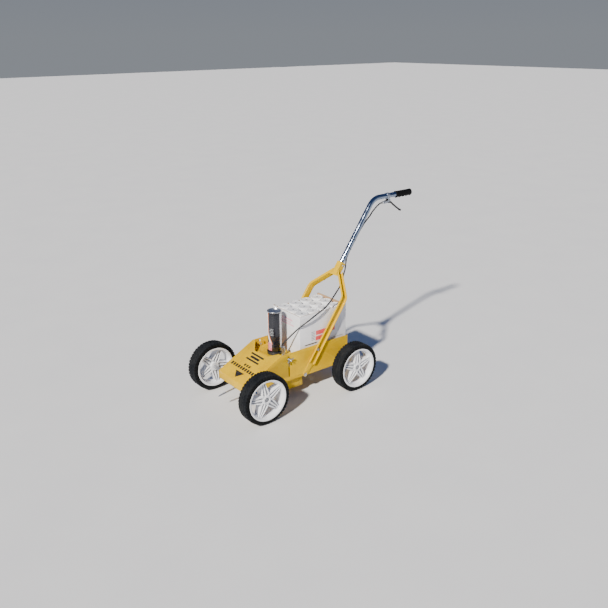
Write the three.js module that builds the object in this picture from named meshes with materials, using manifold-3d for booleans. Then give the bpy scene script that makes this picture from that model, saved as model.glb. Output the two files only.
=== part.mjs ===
// Line striping machine: a four-wheeled sheet-steel trolley that carries one upside-down
// marking-paint can at the front, a carton of twelve spare cans behind it, and a single-stalk
// handle whose hand lever opens the can's valve through a cable.
// Millimetres, +Z up. The machine rolls forward along -Y, so +X is the operator's left.
// While it is being built, the origin is on the ground below the middle of the front axle;
// the last group moves it to the middle of the whole machine's footprint.
import * as THREE from "three";
import { mergeVertices } from "three/addons/utils/BufferGeometryUtils.js";
import Module from "manifold-3d";

const wasm = await Module();
wasm.setup();

// ---------------------------------------------------------------- driving dimensions
const GAP = 0.3; // between pieces that touch
const SHEET = 2; // thickness of the body's sheet steel

const AXLE_Z = 119; // axle height, which is the tyres' rolling radius
const WHEELBASE = 530;
const TRACK_HALF = 220; // wheel centre plane from the middle
const WHEEL_SIDES = 24;
const TYRE_BEAD_R = 89.1;
const RIM_LIP_R = 97;
const RIM_HALF_W = 33.3;
const AXLE_R = 6;
const AXLE_HALF = 240;
const HUB_R = 21;

const BODY_HALF = 120; // outer faces of the side panels
const BODY_TOP = 238.7;
const BODY_BOTTOM = 99;
const BODY_REAR = 571;
const NOSE_TOP_Y = 172.5;
const NOSE_FRONT_Y = -24;
const NOSE_FOLD_Z = 135;
const NOSE_LIP_Z = 97.3;
const NOTCH_TOP_HALF = 96;
const NOTCH_LOW_HALF = 47;
const NOTCH_LOW_Y = 134;

const TRAY_TOP = 140;
const BULKHEAD_Y = 283.7;
const BULKHEAD_TOP = 196;

const SHROUD_HALF = 103; // outer faces of the spray shroud
const SHROUD_FRONT = 150;
const SHROUD_REAR = 305;
const SHROUD_LOW = 45;
const SHROUD_FRONT_TOP = 125;

const YOKE_TILT = (55 * Math.PI) / 180; // slope of the yoke and of the handle's straight part
const YOKE_PLANE = -192.5; // the yoke's middle plane, measured from the origin along its normal
const CHANNEL_HALF = 17.5; // half the channel's height between its flanges' outer faces
const CHANNEL_T = 2.5;
const CHANNEL_DEPTH = 11;
const ARM_BEND_R = 30;
const ARM_BEND_AT = 657.3; // distances along the slope, from the origin
const FLANGE_FROM = 320;
const TONGUE_END = 250;
const FOOT_BOLT_AT = 260.5;
const FOOT_BOLT_N = 2; // bolt centres off the yoke's middle plane
const MID_BOLT_AT = 395;
const MID_BOLT_N = 0.5;
const SOCKET_HALF = 15.2;
const SOCKET_FROM = 765;
const SOCKET_TO = 828;
const SOCKET_BOLT_AT = 815;

const TUBE_R = 12.7;
const TUBE_WALL = 1.8;
const TUBE_N = 2.5; // tube axis off the yoke's middle plane
const TUBE_BEND_R = 75;
const BAR_Z = 860.5; // height of the horizontal bar
const BAR_END_Y = 1084;
const GRIP_FROM = 983;
const GRIP_TO = 1088.5;
const GRIP_R = 15.8;

const LEVER_PIVOT = [939, 837]; // y, z
const CABLE_STOP_Z = 829;

const CAN_Y = 220; // axis of the paint can
const CAN_R = 33.9;
const CAN_RIM_Z = 415.6;
const DECK_Z = 200; // top of the can carriage
const WING_Y = 214;
const WING_Z = 207;
const SLOT_HALF = 3.5;
const SLOT_LOW = 117.5;
const SLOT_HIGH = 232;
const ACTUATOR_PIVOT = [-50, 178]; // x, z
const WIRE_X = 46;
const WIRE_Y = 228;
const TIP_LOW = 178;

const CARTON_HALF = 106;
const CARTON_FRONT = 288.3;
const CARTON_REAR = 571.3;
const CARTON_TOP = 396;
const CARTON_WALL = 3;
const SPARE_R = 33.9;
const SPARE_PITCH_X = 67.6;
const SPARE_PITCH_Y = 66.4;
const SPARE_TOP = 394;

const CABLE_R = 3.5;

// ---------------------------------------------------------------- materials
const steelYellow = () => new THREE.MeshStandardMaterial({ color: 0xf2b90c, roughness: 0.4, metalness: 0.1 });
const blackRubber = () => new THREE.MeshStandardMaterial({ color: 0x17171a, roughness: 0.85, metalness: 0 });
const whitePlastic = () => new THREE.MeshStandardMaterial({ color: 0xe9ebee, roughness: 0.45, metalness: 0 });
const zinc = () => new THREE.MeshStandardMaterial({ color: 0xa9adb2, roughness: 0.35, metalness: 0.9 });
const chrome = () => new THREE.MeshStandardMaterial({ color: 0xd8dce2, roughness: 0.12, metalness: 1 });
const castAlloy = () => new THREE.MeshStandardMaterial({ color: 0xb4b8bd, roughness: 0.4, metalness: 0.8 });
const blackPlastic = () => new THREE.MeshStandardMaterial({ color: 0x1b1b1d, roughness: 0.5, metalness: 0 });
const cardboard = () => new THREE.MeshStandardMaterial({ color: 0xe8e8ea, roughness: 0.8, metalness: 0 });
const canLabel = () => new THREE.MeshStandardMaterial({ color: 0x1a1b1e, roughness: 0.3, metalness: 0.2 });

// ---------------------------------------------------------------- solids
// A closed geometry as a manifold-3d solid with its faces pointing out.
function solid(geometry) {
  const bare = geometry.clone();
  bare.deleteAttribute("normal");
  bare.deleteAttribute("uv");
  const merged = mergeVertices(bare, 1e-4);
  const index = merged.index.array;
  const faces = [];
  for (let i = 0; i < index.length; i += 3) {
    const [a, b, c] = [index[i], index[i + 1], index[i + 2]];
    if (a !== b && b !== c && c !== a) faces.push(a, b, c);
  }
  const build = (tris) =>
    new wasm.Manifold(
      new wasm.Mesh({
        numProp: 3,
        vertProperties: new Float32Array(merged.attributes.position.array),
        triVerts: new Uint32Array(tris),
      }),
    );
  const made = build(faces);
  if (made.volume() > 0) return made;
  for (let i = 0; i < faces.length; i += 3) [faces[i], faces[i + 1]] = [faces[i + 1], faces[i]];
  return build(faces);
}

const join = (...solids) => solids.reduce((a, b) => a.add(b));
const cut = (from, ...tools) => tools.reduce((a, b) => a.subtract(b), from);

function mesh(name, shape, material) {
  const { vertProperties, triVerts } = shape.getMesh();
  const geometry = new THREE.BufferGeometry()
    .setAttribute("position", new THREE.BufferAttribute(new Float32Array(vertProperties), 3))
    .setIndex(new THREE.BufferAttribute(new Uint32Array(triVerts), 1));
  geometry.computeVertexNormals();
  const made = new THREE.Mesh(geometry, material);
  made.name = name;
  return made;
}

const outline = (points) => new THREE.Shape(points.map(([u, v]) => new THREE.Vector2(u, v)));

function extrude(shape, depth, basis, start, curveSegments = 12) {
  const geometry = new THREE.ExtrudeGeometry(shape, { depth, bevelEnabled: false, curveSegments });
  geometry.translate(0, 0, start);
  geometry.applyMatrix4(new THREE.Matrix4().makeBasis(...basis));
  return solid(geometry);
}

const X = new THREE.Vector3(1, 0, 0);
const Y = new THREE.Vector3(0, 1, 0);
const Z = new THREE.Vector3(0, 0, 1);
const BACK_Y = new THREE.Vector3(0, -1, 0);

// Prisms: an outline in (y, z), (x, z) or (x, y), between two positions along the third axis.
const prismX = (shape, x0, x1, segments) => extrude(shape, x1 - x0, [Y, Z, X], x0, segments);
const prismY = (shape, y0, y1, segments) => extrude(shape, y1 - y0, [X, Z, BACK_Y], -y1, segments);
const prismZ = (shape, z0, z1, segments) => extrude(shape, z1 - z0, [X, Y, Z], z0, segments);

function box(x0, x1, y0, y1, z0, z1) {
  const geometry = new THREE.BoxGeometry(x1 - x0, y1 - y0, z1 - z0);
  geometry.translate((x0 + x1) / 2, (y0 + y1) / 2, (z0 + z1) / 2);
  return solid(geometry);
}

// Round bars along an axis, at the two other coordinates.
function barX(r, y, z, x0, x1, sides = 16) {
  const geometry = new THREE.CylinderGeometry(r, r, x1 - x0, sides);
  geometry.rotateZ(-Math.PI / 2);
  geometry.translate((x0 + x1) / 2, y, z);
  return solid(geometry);
}

function barY(r, x, z, y0, y1, sides = 16) {
  const geometry = new THREE.CylinderGeometry(r, r, y1 - y0, sides);
  geometry.translate(x, (y0 + y1) / 2, z);
  return solid(geometry);
}

function barZ(r, x, y, z0, z1, sides = 16) {
  const geometry = new THREE.CylinderGeometry(r, r, z1 - z0, sides);
  geometry.rotateX(Math.PI / 2);
  geometry.translate(x, y, (z0 + z1) / 2);
  return solid(geometry);
}

// A profile of [radius, axial position], turned about an axis. A ring's profile closes on itself.
function turn(profile, sides, closes = false) {
  const points = profile.map(([r, a]) => new THREE.Vector2(r, a));
  if (closes) points.push(points[0].clone());
  return new THREE.LatheGeometry(points, sides, Math.PI / sides);
}

const turnX = (profile, sides, closes) => solid(turn(profile, sides, closes).rotateZ(-Math.PI / 2));
const turnZ = (profile, sides, closes) => solid(turn(profile, sides, closes).rotateX(Math.PI / 2));

// A path that steps from point to point, so that a straight stretch takes one step.
class StepPath extends THREE.Curve {
  constructor(points) {
    super();
    this.points = points;
  }

  getPoint(t, target = new THREE.Vector3()) {
    const last = this.points.length - 1;
    const at = Math.min(Math.max(t, 0), 1) * last;
    const i = Math.min(Math.floor(at), last - 1);
    return target.lerpVectors(this.points[i], this.points[i + 1], at - i);
  }

  getPointAt(u, target) {
    return this.getPoint(u, target);
  }

  getTangentAt(u, target = new THREE.Vector3()) {
    const last = this.points.length - 1;
    const i = Math.round(u * last);
    const before = this.points[Math.max(i - 1, 0)];
    const here = this.points[i];
    const after = this.points[Math.min(i + 1, last)];
    const arriving = here.clone().sub(before).normalize();
    const leaving = after.clone().sub(here).normalize();
    return target.copy(arriving).add(leaving).normalize();
  }
}

function pipe(points, r, sides, bore = 0) {
  const section = new THREE.Shape();
  section.absarc(0, 0, r, 0, 2 * Math.PI);
  if (bore) {
    const hole = new THREE.Path();
    hole.absarc(0, 0, bore, 0, 2 * Math.PI, true);
    section.holes.push(hole);
  }
  const options = { steps: points.length - 1, curveSegments: sides / 2, bevelEnabled: false };
  return solid(new THREE.ExtrudeGeometry(section, { ...options, extrudePath: new StepPath(points) }));
}

const SIDES = [
  { side: "left", sign: 1 },
  { side: "right", sign: -1 },
];

// x0..x1 on the left is -x1..-x0 on the right.
const acrossX = (sign, x0, x1) => (sign > 0 ? [x0, x1] : [-x1, -x0]);

// A point of the yoke's own frame (x, along the slope, along the normal) as machine y and z.
const slopeY = (s, n) => s * Math.cos(YOKE_TILT) - (YOKE_PLANE + n) * Math.sin(YOKE_TILT);
const slopeZ = (s, n) => s * Math.sin(YOKE_TILT) + (YOKE_PLANE + n) * Math.cos(YOKE_TILT);

// ---------------------------------------------------------------- body
const NOSE_SLOPE = (BODY_TOP - NOSE_FOLD_Z) / (NOSE_TOP_Y - NOSE_FRONT_Y);
const noseZ = (y) => NOSE_FOLD_Z + (y - NOSE_FRONT_Y) * NOSE_SLOPE;
const acrossNose = (thickness) => thickness * Math.hypot(1, NOSE_SLOPE);

function sidePanel(sign) {
  const front = NOSE_FRONT_Y + SHEET + GAP;
  const under = acrossNose(SHEET + GAP);
  const shape = outline([
    [front, BODY_BOTTOM],
    [BODY_REAR, BODY_BOTTOM],
    [BODY_REAR, BODY_TOP],
    [NOSE_TOP_Y + 0.5, BODY_TOP],
    [NOSE_TOP_Y + 0.5, noseZ(NOSE_TOP_Y) - under],
    [front, noseZ(front) - under],
  ]);
  const [x0, x1] = acrossX(sign, BODY_HALF - SHEET, BODY_HALF);
  const [c0, c1] = [x0 - 1, x1 + 1];
  const slot = join(
    box(c0, c1, WING_Y - SLOT_HALF, WING_Y + SLOT_HALF, SLOT_LOW + SLOT_HALF, SLOT_HIGH - SLOT_HALF),
    barX(SLOT_HALF, WING_Y, SLOT_LOW + SLOT_HALF, c0, c1, 12),
    barX(SLOT_HALF, WING_Y, SLOT_HIGH - SLOT_HALF, c0, c1, 12),
  );
  const bolts = [
    [FOOT_BOLT_AT, FOOT_BOLT_N],
    [MID_BOLT_AT, MID_BOLT_N],
  ].map(([s, n]) => barX(4.3, slopeY(s, n), slopeZ(s, n), c0, c1, 10));
  const axles = [0, WHEELBASE].map((y) => barX(AXLE_R + GAP, y, AXLE_Z, c0, c1, 12));
  return cut(prismX(shape, x0, x1), slot, ...bolts, ...axles);
}

function nosePanel() {
  const inner = NOSE_FRONT_Y + SHEET;
  const sheet = prismX(
    outline([
      [NOSE_TOP_Y, BODY_TOP],
      [NOSE_FRONT_Y, NOSE_FOLD_Z],
      [NOSE_FRONT_Y, NOSE_LIP_Z],
      [inner, NOSE_LIP_Z],
      [inner, noseZ(inner) - acrossNose(SHEET)],
      [NOSE_TOP_Y, BODY_TOP - acrossNose(SHEET)],
    ]),
    -BODY_HALF,
    BODY_HALF,
  );
  const notch = prismZ(
    outline([
      [-NOTCH_LOW_HALF, NOTCH_LOW_Y],
      [NOTCH_LOW_HALF, NOTCH_LOW_Y],
      [NOTCH_TOP_HALF, NOSE_TOP_Y],
      [NOTCH_TOP_HALF, NOSE_TOP_Y + 5],
      [-NOTCH_TOP_HALF, NOSE_TOP_Y + 5],
      [-NOTCH_TOP_HALF, NOSE_TOP_Y],
    ]),
    BODY_BOTTOM,
    BODY_TOP + 10,
  );
  return cut(sheet, notch);
}

const TRAY_HALF = BODY_HALF - SHEET - GAP;
const trayFloor = () =>
  box(-TRAY_HALF, TRAY_HALF, BULKHEAD_Y + SHEET + GAP, BODY_REAR, TRAY_TOP - SHEET, TRAY_TOP);
const trayBulkhead = () =>
  box(-TRAY_HALF, TRAY_HALF, BULKHEAD_Y, BULKHEAD_Y + SHEET, TRAY_TOP - SHEET, BULKHEAD_TOP);

// A four-walled wind shroud, open above and below, with a flange that meets each side panel.
function sprayShroud() {
  const inner = SHROUD_HALF - SHEET;
  const walls = cut(
    box(-SHROUD_HALF, SHROUD_HALF, SHROUD_FRONT, SHROUD_REAR, SHROUD_LOW, BODY_BOTTOM),
    box(-inner, inner, SHROUD_FRONT + SHEET, SHROUD_REAR - SHEET, SHROUD_LOW - 1, BODY_BOTTOM + 1),
  );
  const front = box(
    -SHROUD_HALF,
    SHROUD_HALF,
    SHROUD_FRONT,
    SHROUD_FRONT + SHEET,
    SHROUD_LOW,
    SHROUD_FRONT_TOP,
  );
  const flanges = SIDES.map(({ sign }) => {
    const [x0, x1] = acrossX(sign, inner, TRAY_HALF);
    return box(x0, x1, SHROUD_FRONT + 10, SHROUD_REAR - 25, BODY_BOTTOM - SHEET, BODY_BOTTOM);
  });
  return join(walls, front, ...flanges);
}

// ---------------------------------------------------------------- pointer
const POINTER_TIP = [-104, 71.2];
const POINTER_SLOPE = 0.1633;
const POINTER_R = 4;
const pointerZ = (y) => POINTER_TIP[1] + (y - POINTER_TIP[0]) * POINTER_SLOPE;
const pointerPath = (y0, y1) => [y0, y1].map((y) => new THREE.Vector3(0, y, pointerZ(y)));
const pointerRod = () => pipe(pointerPath(POINTER_TIP[0], SHROUD_FRONT - 10), POINTER_R, 12);
const pointerBracket = () =>
  cut(
    box(-12, 12, SHROUD_FRONT - 32, SHROUD_FRONT - GAP, 98, SHROUD_FRONT_TOP - 3),
    pipe(pointerPath(SHROUD_FRONT - 60, SHROUD_FRONT + 20), POINTER_R + GAP, 12),
  );

// ---------------------------------------------------------------- wheels
// A wheel's own frame has its hub centre as origin and +X pointing away from the body.
function tyre() {
  const flat = 1 / Math.cos(Math.PI / WHEEL_SIDES); // so that a facet, not a corner, meets the ground
  const half = [
    [TYRE_BEAD_R, 27],
    [98, 30.1],
    [112, 29.2],
    [AXLE_Z, 21],
  ];
  const other = half.map(([r, a]) => [r, -a]).reverse();
  return turnX(
    [...half, ...other].map(([r, a]) => [r * flat, a]),
    WHEEL_SIDES,
    true,
  );
}

const HUB_FACE = 26;
const HUB_BACK = -25;
const CAP_SEAT = HUB_FACE - 7;

function rim() {
  const lip = RIM_HALF_W;
  const barrel = turnX(
    [
      [88.5, lip - 2.7],
      [RIM_LIP_R, lip - 2.7],
      [RIM_LIP_R, lip],
      [85.5, lip],
      [85.5, -lip],
      [RIM_LIP_R, -lip],
      [RIM_LIP_R, 2.7 - lip],
      [88.5, 2.7 - lip],
    ],
    WHEEL_SIDES,
    true,
  );
  const hub = barX(HUB_R, 0, 0, HUB_BACK, HUB_FACE);
  const blade = outline([
    [-20, 14],
    [20, 14],
    [8.5, 87],
    [-8.5, 87],
  ]);
  const spokes = [0, 1, 2, 3, 4].map((i) =>
    prismX(blade, -16, 23).rotate([(i * 360) / 5, 0, 0]),
  );
  const bore = barX(AXLE_R + GAP, 0, 0, HUB_BACK - 1, HUB_FACE + 1, 12);
  const seat = barX(12, 0, 0, CAP_SEAT, HUB_FACE + 1, 12);
  return cut(join(barrel, hub, ...spokes), bore, seat);
}

const axleCap = () => barX(9.5, 0, 0, AXLE_HALF + GAP - TRACK_HALF, HUB_FACE - 1.5, 12);
const axleSpacer = () => {
  const from = BODY_HALF + GAP - TRACK_HALF;
  return cut(
    barX(9.5, 0, 0, from, HUB_BACK - GAP, 10),
    barX(AXLE_R + GAP, 0, 0, from - 1, HUB_BACK, 12),
  );
};

// ---------------------------------------------------------------- yoke and handle
// The arm's inner face, offset outwards by d, in the yoke's frame (x, along the slope).
function armEdge(d, from) {
  const points = [[BODY_HALF + GAP + d, from]];
  const centre = BODY_HALF + GAP - ARM_BEND_R;
  const turnSteps = 4;
  for (let i = 0; i <= turnSteps; i++) {
    const a = (i / turnSteps) * (Math.PI / 4);
    points.push([centre + (ARM_BEND_R + d) * Math.cos(a), ARM_BEND_AT + (ARM_BEND_R + d) * Math.sin(a)]);
  }
  const end = SOCKET_HALF + GAP;
  const sum = centre + ARM_BEND_AT + (ARM_BEND_R + d) * Math.SQRT2;
  points.push([end, sum - end]);
  return points;
}

// One arm: a U channel whose web lies against the side panel and whose flanges point outwards.
// Below the flanges the web runs on as a flat tongue that takes the foot bolt.
function yokeArm(sign) {
  const mirrored = (points) => points.map(([x, s]) => [sign * x, s]);
  const inner = armEdge(0, FLANGE_FROM);
  const web = prismZ(
    outline(mirrored([...armEdge(CHANNEL_T, FLANGE_FROM), ...inner.slice().reverse()])),
    -CHANNEL_HALF,
    CHANNEL_HALF,
  );
  const taper = [0, 1, 2, 3].map((i) => {
    const a = (i / 4) * (Math.PI / 2);
    const depth = CHANNEL_T + (CHANNEL_DEPTH - CHANNEL_T) * Math.sin(a);
    return [BODY_HALF + GAP + depth, FLANGE_FROM + 16 * (1 - Math.cos(a))];
  });
  const outer = armEdge(CHANNEL_DEPTH, FLANGE_FROM + 16);
  const flangeOutline = outline(mirrored([...taper, ...outer, ...inner.slice().reverse()]));
  const flanges = [
    [-CHANNEL_HALF, CHANNEL_T - CHANNEL_HALF],
    [CHANNEL_HALF - CHANNEL_T, CHANNEL_HALF],
  ].map(([n0, n1]) => prismZ(flangeOutline, n0, n1));
  const [x0, x1] = acrossX(sign, BODY_HALF + GAP, BODY_HALF + GAP + CHANNEL_T);
  const tongue = prismX(
    outline([
      [TONGUE_END, -11],
      [TONGUE_END, 14],
      [FLANGE_FROM - 4, 15],
      [FLANGE_FROM + 4, CHANNEL_HALF],
      [FLANGE_FROM + 4, -CHANNEL_HALF],
    ]),
    x0,
    x1,
  );
  const holes = [
    [FOOT_BOLT_AT, FOOT_BOLT_N],
    [MID_BOLT_AT, MID_BOLT_N],
  ].map(([s, n]) => barX(4.3, s, n, x0 - 1, x1 + 1, 10));
  return cut(join(web, ...flanges, tongue), ...holes);
}

// The square sleeve that holds the handle tube, with a gusset across the crotch of the arms.
function handleSocket() {
  const [low, high] = [TUBE_N - SOCKET_HALF, TUBE_N + SOCKET_HALF];
  const sleeve = box(-SOCKET_HALF, SOCKET_HALF, SOCKET_FROM, SOCKET_TO, low, high);
  const gusset = prismZ(
    outline([
      [-33, 755],
      [33, 755],
      [SOCKET_HALF, 772.5],
      [-SOCKET_HALF, 772.5],
    ]),
    CHANNEL_HALF - 3,
    CHANNEL_HALF,
  );
  return cut(
    join(sleeve, gusset),
    barY(TUBE_R + GAP, 0, TUBE_N, SOCKET_FROM + 0.5, SOCKET_TO + 1, 20),
    barX(3.3, SOCKET_BOLT_AT, TUBE_N, -30, 30, 12),
  );
}

const hexBar = (r, y, z, x0, x1) => barX(r, y, z, x0, x1, 6);

// A through bolt in the socket; the tube is drilled for it.
const socketBolt = () =>
  join(
    barX(3, SOCKET_BOLT_AT, TUBE_N, -22, 17, 12),
    hexBar(6, SOCKET_BOLT_AT, TUBE_N, SOCKET_HALF + GAP, SOCKET_HALF + 5),
    hexBar(6, SOCKET_BOLT_AT, TUBE_N, -SOCKET_HALF - 5.5, -SOCKET_HALF - GAP),
  );

const SLOPE = new THREE.Vector3(0, Math.cos(YOKE_TILT), Math.sin(YOKE_TILT));

function handleTube() {
  const start = new THREE.Vector3(0, slopeY(SOCKET_FROM + 3, TUBE_N), slopeZ(SOCKET_FROM + 3, TUBE_N));
  const cornerY = start.y + (BAR_Z - start.z) / Math.tan(YOKE_TILT);
  const tangent = TUBE_BEND_R * Math.tan(YOKE_TILT / 2);
  const centre = new THREE.Vector3(0, cornerY + tangent, BAR_Z - TUBE_BEND_R);
  const points = [start];
  const bendSteps = 6;
  for (let i = 0; i <= bendSteps; i++) {
    const a = Math.PI / 2 + YOKE_TILT * (1 - i / bendSteps);
    const reach = new THREE.Vector3(0, Math.cos(a), Math.sin(a)).multiplyScalar(TUBE_BEND_R);
    points.push(centre.clone().add(reach));
  }
  points.push(new THREE.Vector3(0, BAR_END_Y, BAR_Z));
  const tube = pipe(points, TUBE_R, 16, TUBE_R - TUBE_WALL);
  const [y, z] = [slopeY(SOCKET_BOLT_AT, TUBE_N), slopeZ(SOCKET_BOLT_AT, TUBE_N)];
  return cut(tube, barX(3.3, y, z, -20, 20, 12));
}

function handleGrip() {
  const sleeve = barY(GRIP_R, 0, BAR_Z, GRIP_FROM, GRIP_TO, 20);
  const ridges = 4;
  const steps = 20;
  const wave = [];
  for (let i = 0; i <= steps; i++) {
    const y = GRIP_FROM + 3 + ((GRIP_TO - GRIP_FROM - 6) * i) / steps;
    wave.push([y, BAR_Z - GRIP_R - 1.2 - 2.2 * Math.cos((2 * Math.PI * ridges * i) / steps)]);
  }
  const fingers = prismX(
    outline([...wave, [GRIP_TO - 3, BAR_Z - 14], [GRIP_FROM + 3, BAR_Z - 14]]),
    -7,
    7,
  );
  const bore = barY(TUBE_R + GAP, 0, BAR_Z, GRIP_FROM - 20, BAR_END_Y + GAP, 18);
  return cut(join(sleeve, fingers), bore);
}

// ---------------------------------------------------------------- hand lever
const LEVER_HALF = 7;
const LUG_IN = 8;
const LUG_OUT = 10.2;
const CLAMP_FROM = 920;
const CLAMP_TO = 936;

function leverClamp() {
  const band = barY(15.6, 0, BAR_Z, CLAMP_FROM, CLAMP_TO, 20);
  const lug = outline([
    [CLAMP_FROM + 4, 850],
    [CLAMP_TO, 850],
    [LEVER_PIVOT[0] + 5, LEVER_PIVOT[1] + 3],
    [LEVER_PIVOT[0] + 5, LEVER_PIVOT[1] - 3],
    [LEVER_PIVOT[0] + 1, LEVER_PIVOT[1] - 5.5],
    [912, 825],
    [902, 825],
    [902, 833],
    [914, 833],
    [CLAMP_FROM + 10, 839],
  ]);
  const lugs = SIDES.map(({ sign }) => prismX(lug, ...acrossX(sign, LUG_IN, LUG_OUT)));
  const stop = box(-LUG_OUT, LUG_OUT, 902, 907, 824, 834);
  return cut(
    join(band, ...lugs, stop),
    barY(TUBE_R + GAP, 0, BAR_Z, CLAMP_FROM - 1, CLAMP_TO + 1, 18),
    barX(3.3, ...LEVER_PIVOT, -20, 20, 12),
    barY(3.3, 0, CABLE_STOP_Z, 890, 920, 12),
  );
}

const leverPin = () =>
  join(
    barX(3, ...LEVER_PIVOT, -11.5, 11.5, 12),
    barX(5, ...LEVER_PIVOT, LUG_OUT + GAP, LUG_OUT + 2.5, 12),
    barX(5, ...LEVER_PIVOT, -LUG_OUT - 2.5, -LUG_OUT - GAP, 12),
  );

const cableAdjuster = () =>
  join(barY(3, 0, CABLE_STOP_Z, 900, 907, 12), barY(5, 0, CABLE_STOP_Z, 896, 901.7, 12));

// A strip of constant half width along points in (y, z).
function strip(points, half) {
  const left = [];
  const right = [];
  points.forEach((p, i) => {
    const a = points[Math.max(i - 1, 0)];
    const b = points[Math.min(i + 1, points.length - 1)];
    const length = Math.hypot(b[0] - a[0], b[1] - a[1]);
    const [nx, ny] = [-(b[1] - a[1]) / length, (b[0] - a[0]) / length];
    left.push([p[0] + nx * half, p[1] + ny * half]);
    right.push([p[0] - nx * half, p[1] - ny * half]);
  });
  return outline([...left, ...right.reverse()]);
}

function triggerLever() {
  const [y, z] = LEVER_PIVOT;
  const blade = strip(
    [
      [y, z],
      [y + 26.5, z - 22.5],
      [y + 54, z - 43.5],
      [y + 80, z - 61],
    ],
    4,
  );
  const tail = strip(
    [
      [y, z],
      [y, z - 11],
    ],
    4.5,
  );
  const made = join(
    barX(5.5, y, z, -LEVER_HALF, LEVER_HALF),
    barX(4.5, y, z - 11, -LEVER_HALF, LEVER_HALF, 12),
    barX(5, y + 81, z - 61.5, -LEVER_HALF, LEVER_HALF, 12),
    prismX(blade, -LEVER_HALF, LEVER_HALF),
    prismX(tail, -LEVER_HALF, LEVER_HALF),
  );
  return cut(made, barX(3.3, y, z, -20, 20, 12));
}

// ---------------------------------------------------------------- cable
// The housing hangs from the hand lever to the handle tube, runs down behind the tube and
// the socket, comes forward through the yoke, bows out past the carton's left side, rounds
// its front corner and comes down to the bracket on the can carriage.
const HUG_N = -TUBE_R - CABLE_R - GAP;
const onSlope = (x, s, n) => [x, slopeY(s, TUBE_N + n), slopeZ(s, TUBE_N + n)];
const CABLE_ROUTE = [
  [0, 895.6, CABLE_STOP_Z],
  [0, 883, 828.4],
  [0, 865, 820],
  [0, 847, 807],
  [0, 829, 792.5],
  onSlope(0, 1102, -32),
  onSlope(0, 1078, -25.5),
  onSlope(-1, 1053, -20.5),
  onSlope(-2, 1010, HUG_N - 0.8),
  onSlope(-2, 960, HUG_N),
  onSlope(-2, 900, HUG_N),
  onSlope(-1, 862, HUG_N - 2),
  onSlope(6, 834, -24),
  onSlope(12, 808, -31),
  onSlope(22, 772, -31),
  onSlope(34, 752, -30),
  onSlope(46, 735, -17),
  onSlope(66, 709, 0),
  [89, 515, 452],
  [106, 470, 428.5],
  [118, 430, 412.5],
  [122, 392, 399.5],
  [121.5, 338, 376.5],
  [116.5, 308, 360.5],
  [108.5, 284.5, 345],
  [93, 267, 322],
  [76, 253, 298],
  [60, 235, 272],
  [50, 229, 257],
  [WIRE_X, WIRE_Y, 252],
  [WIRE_X, WIRE_Y, 247.8],
].map(([x, y, z]) => new THREE.Vector3(x, y, z));

function cableHousing() {
  const smooth = new THREE.CatmullRomCurve3(CABLE_ROUTE, false, "centripetal");
  return pipe(smooth.getSpacedPoints(56), CABLE_R, 8);
}

// A band round the tube and the cable behind it: its section in (x, normal), seen along the slope.
function cableTie(at) {
  const around = (rTube, rCable) => {
    const toCable = -Math.PI / 2;
    const spread = Math.acos((rTube - rCable) / -HUG_N);
    const arc = (cx, cy, r, from, to, steps) =>
      Array.from({ length: steps + 1 }, (_, i) => {
        const a = from + ((to - from) * i) / steps;
        return [cx + r * Math.cos(a), cy + r * Math.sin(a)];
      });
    return [
      ...arc(-2, HUG_N, rCable, toCable - spread, toCable + spread, 4),
      ...arc(0, 0, rTube, toCable + spread, toCable - spread + 2 * Math.PI, 16),
    ];
  };
  const shape = outline(around(TUBE_R + 1.5, CABLE_R + 1.9));
  shape.holes.push(outline(around(TUBE_R + 0.5, CABLE_R + 0.9)));
  return extrude(shape, 4, [X, Z, BACK_Y], -at);
}

// ---------------------------------------------------------------- can carriage
function canCarriage() {
  const low = DECK_Z - SHEET;
  const deck = box(-115, 115, 158, 281, low, DECK_Z);
  const ears = SIDES.map(({ sign }) => {
    const [x0, x1] = acrossX(sign, 113, 115);
    return cut(box(x0, x1, 192, 236, low, 222), barX(3.3, WING_Y, WING_Z, x0 - 1, x1 + 1));
  });
  const [px, pz] = ACTUATOR_PIVOT;
  const hangers = [200, 237.5].map((y) =>
    cut(box(px - 9, px + 10, y, y + 2.5, pz - 8, DECK_Z - 1), barY(3.3, px, pz, y - 1, y + 4)),
  );
  return cut(
    join(deck, ...ears, ...hangers),
    barZ(31.5, 0, CAN_Y, low - 1, DECK_Z + 1, 20),
    barZ(2.5, WIRE_X, WIRE_Y, low - 1, DECK_Z + 1, 12),
  );
}

const canCollar = () =>
  turnZ(
    [
      [38.2, DECK_Z + GAP],
      [38.2, DECK_Z + 14],
      [34.8, DECK_Z + 14],
      [34.8, DECK_Z + 8.6],
      [31.8, DECK_Z + 4.2],
      [31.8, DECK_Z + GAP],
    ],
    20,
    true,
  );

// An angle bracket whose top tab stops the cable housing and lets its wire through.
function cableBracket() {
  const [y0, y1] = [WIRE_Y - 10, WIRE_Y + 10];
  const foot = DECK_Z + GAP;
  return cut(
    join(
      box(55, 57.5, y0, y1, foot, 246),
      box(40, 57.5, y0, y1, 243.5, 246),
      box(55, 70, y0, y1, foot, foot + 2.5),
    ),
    barZ(1.8, WIRE_X, WIRE_Y, 240, 250, 12),
  );
}

const innerWire = () =>
  join(barZ(1.1, WIRE_X, WIRE_Y, 170, 246.1, 8), barZ(3.5, WIRE_X, WIRE_Y, 166, 171.5, 12));

const actuatorPin = () => barY(3, ...ACTUATOR_PIVOT, 198, 242, 12);

// The lever under the can: hinged on the right, lifted by the wire on the left, its middle
// pushes the spray tip up and lets the paint through its hole.
function actuatorLever() {
  const [px, pz] = ACTUATOR_PIVOT;
  return cut(
    join(barY(6, px, pz, 203.2, 236.8), box(px, 56, 206, 236, 172.5, 176)),
    barY(3.3, px, pz, 200, 240, 12),
    barZ(4, 0, CAN_Y, 170, 180, 12),
    barZ(3, WIRE_X, WIRE_Y, 170, 180, 12),
  );
}

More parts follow.
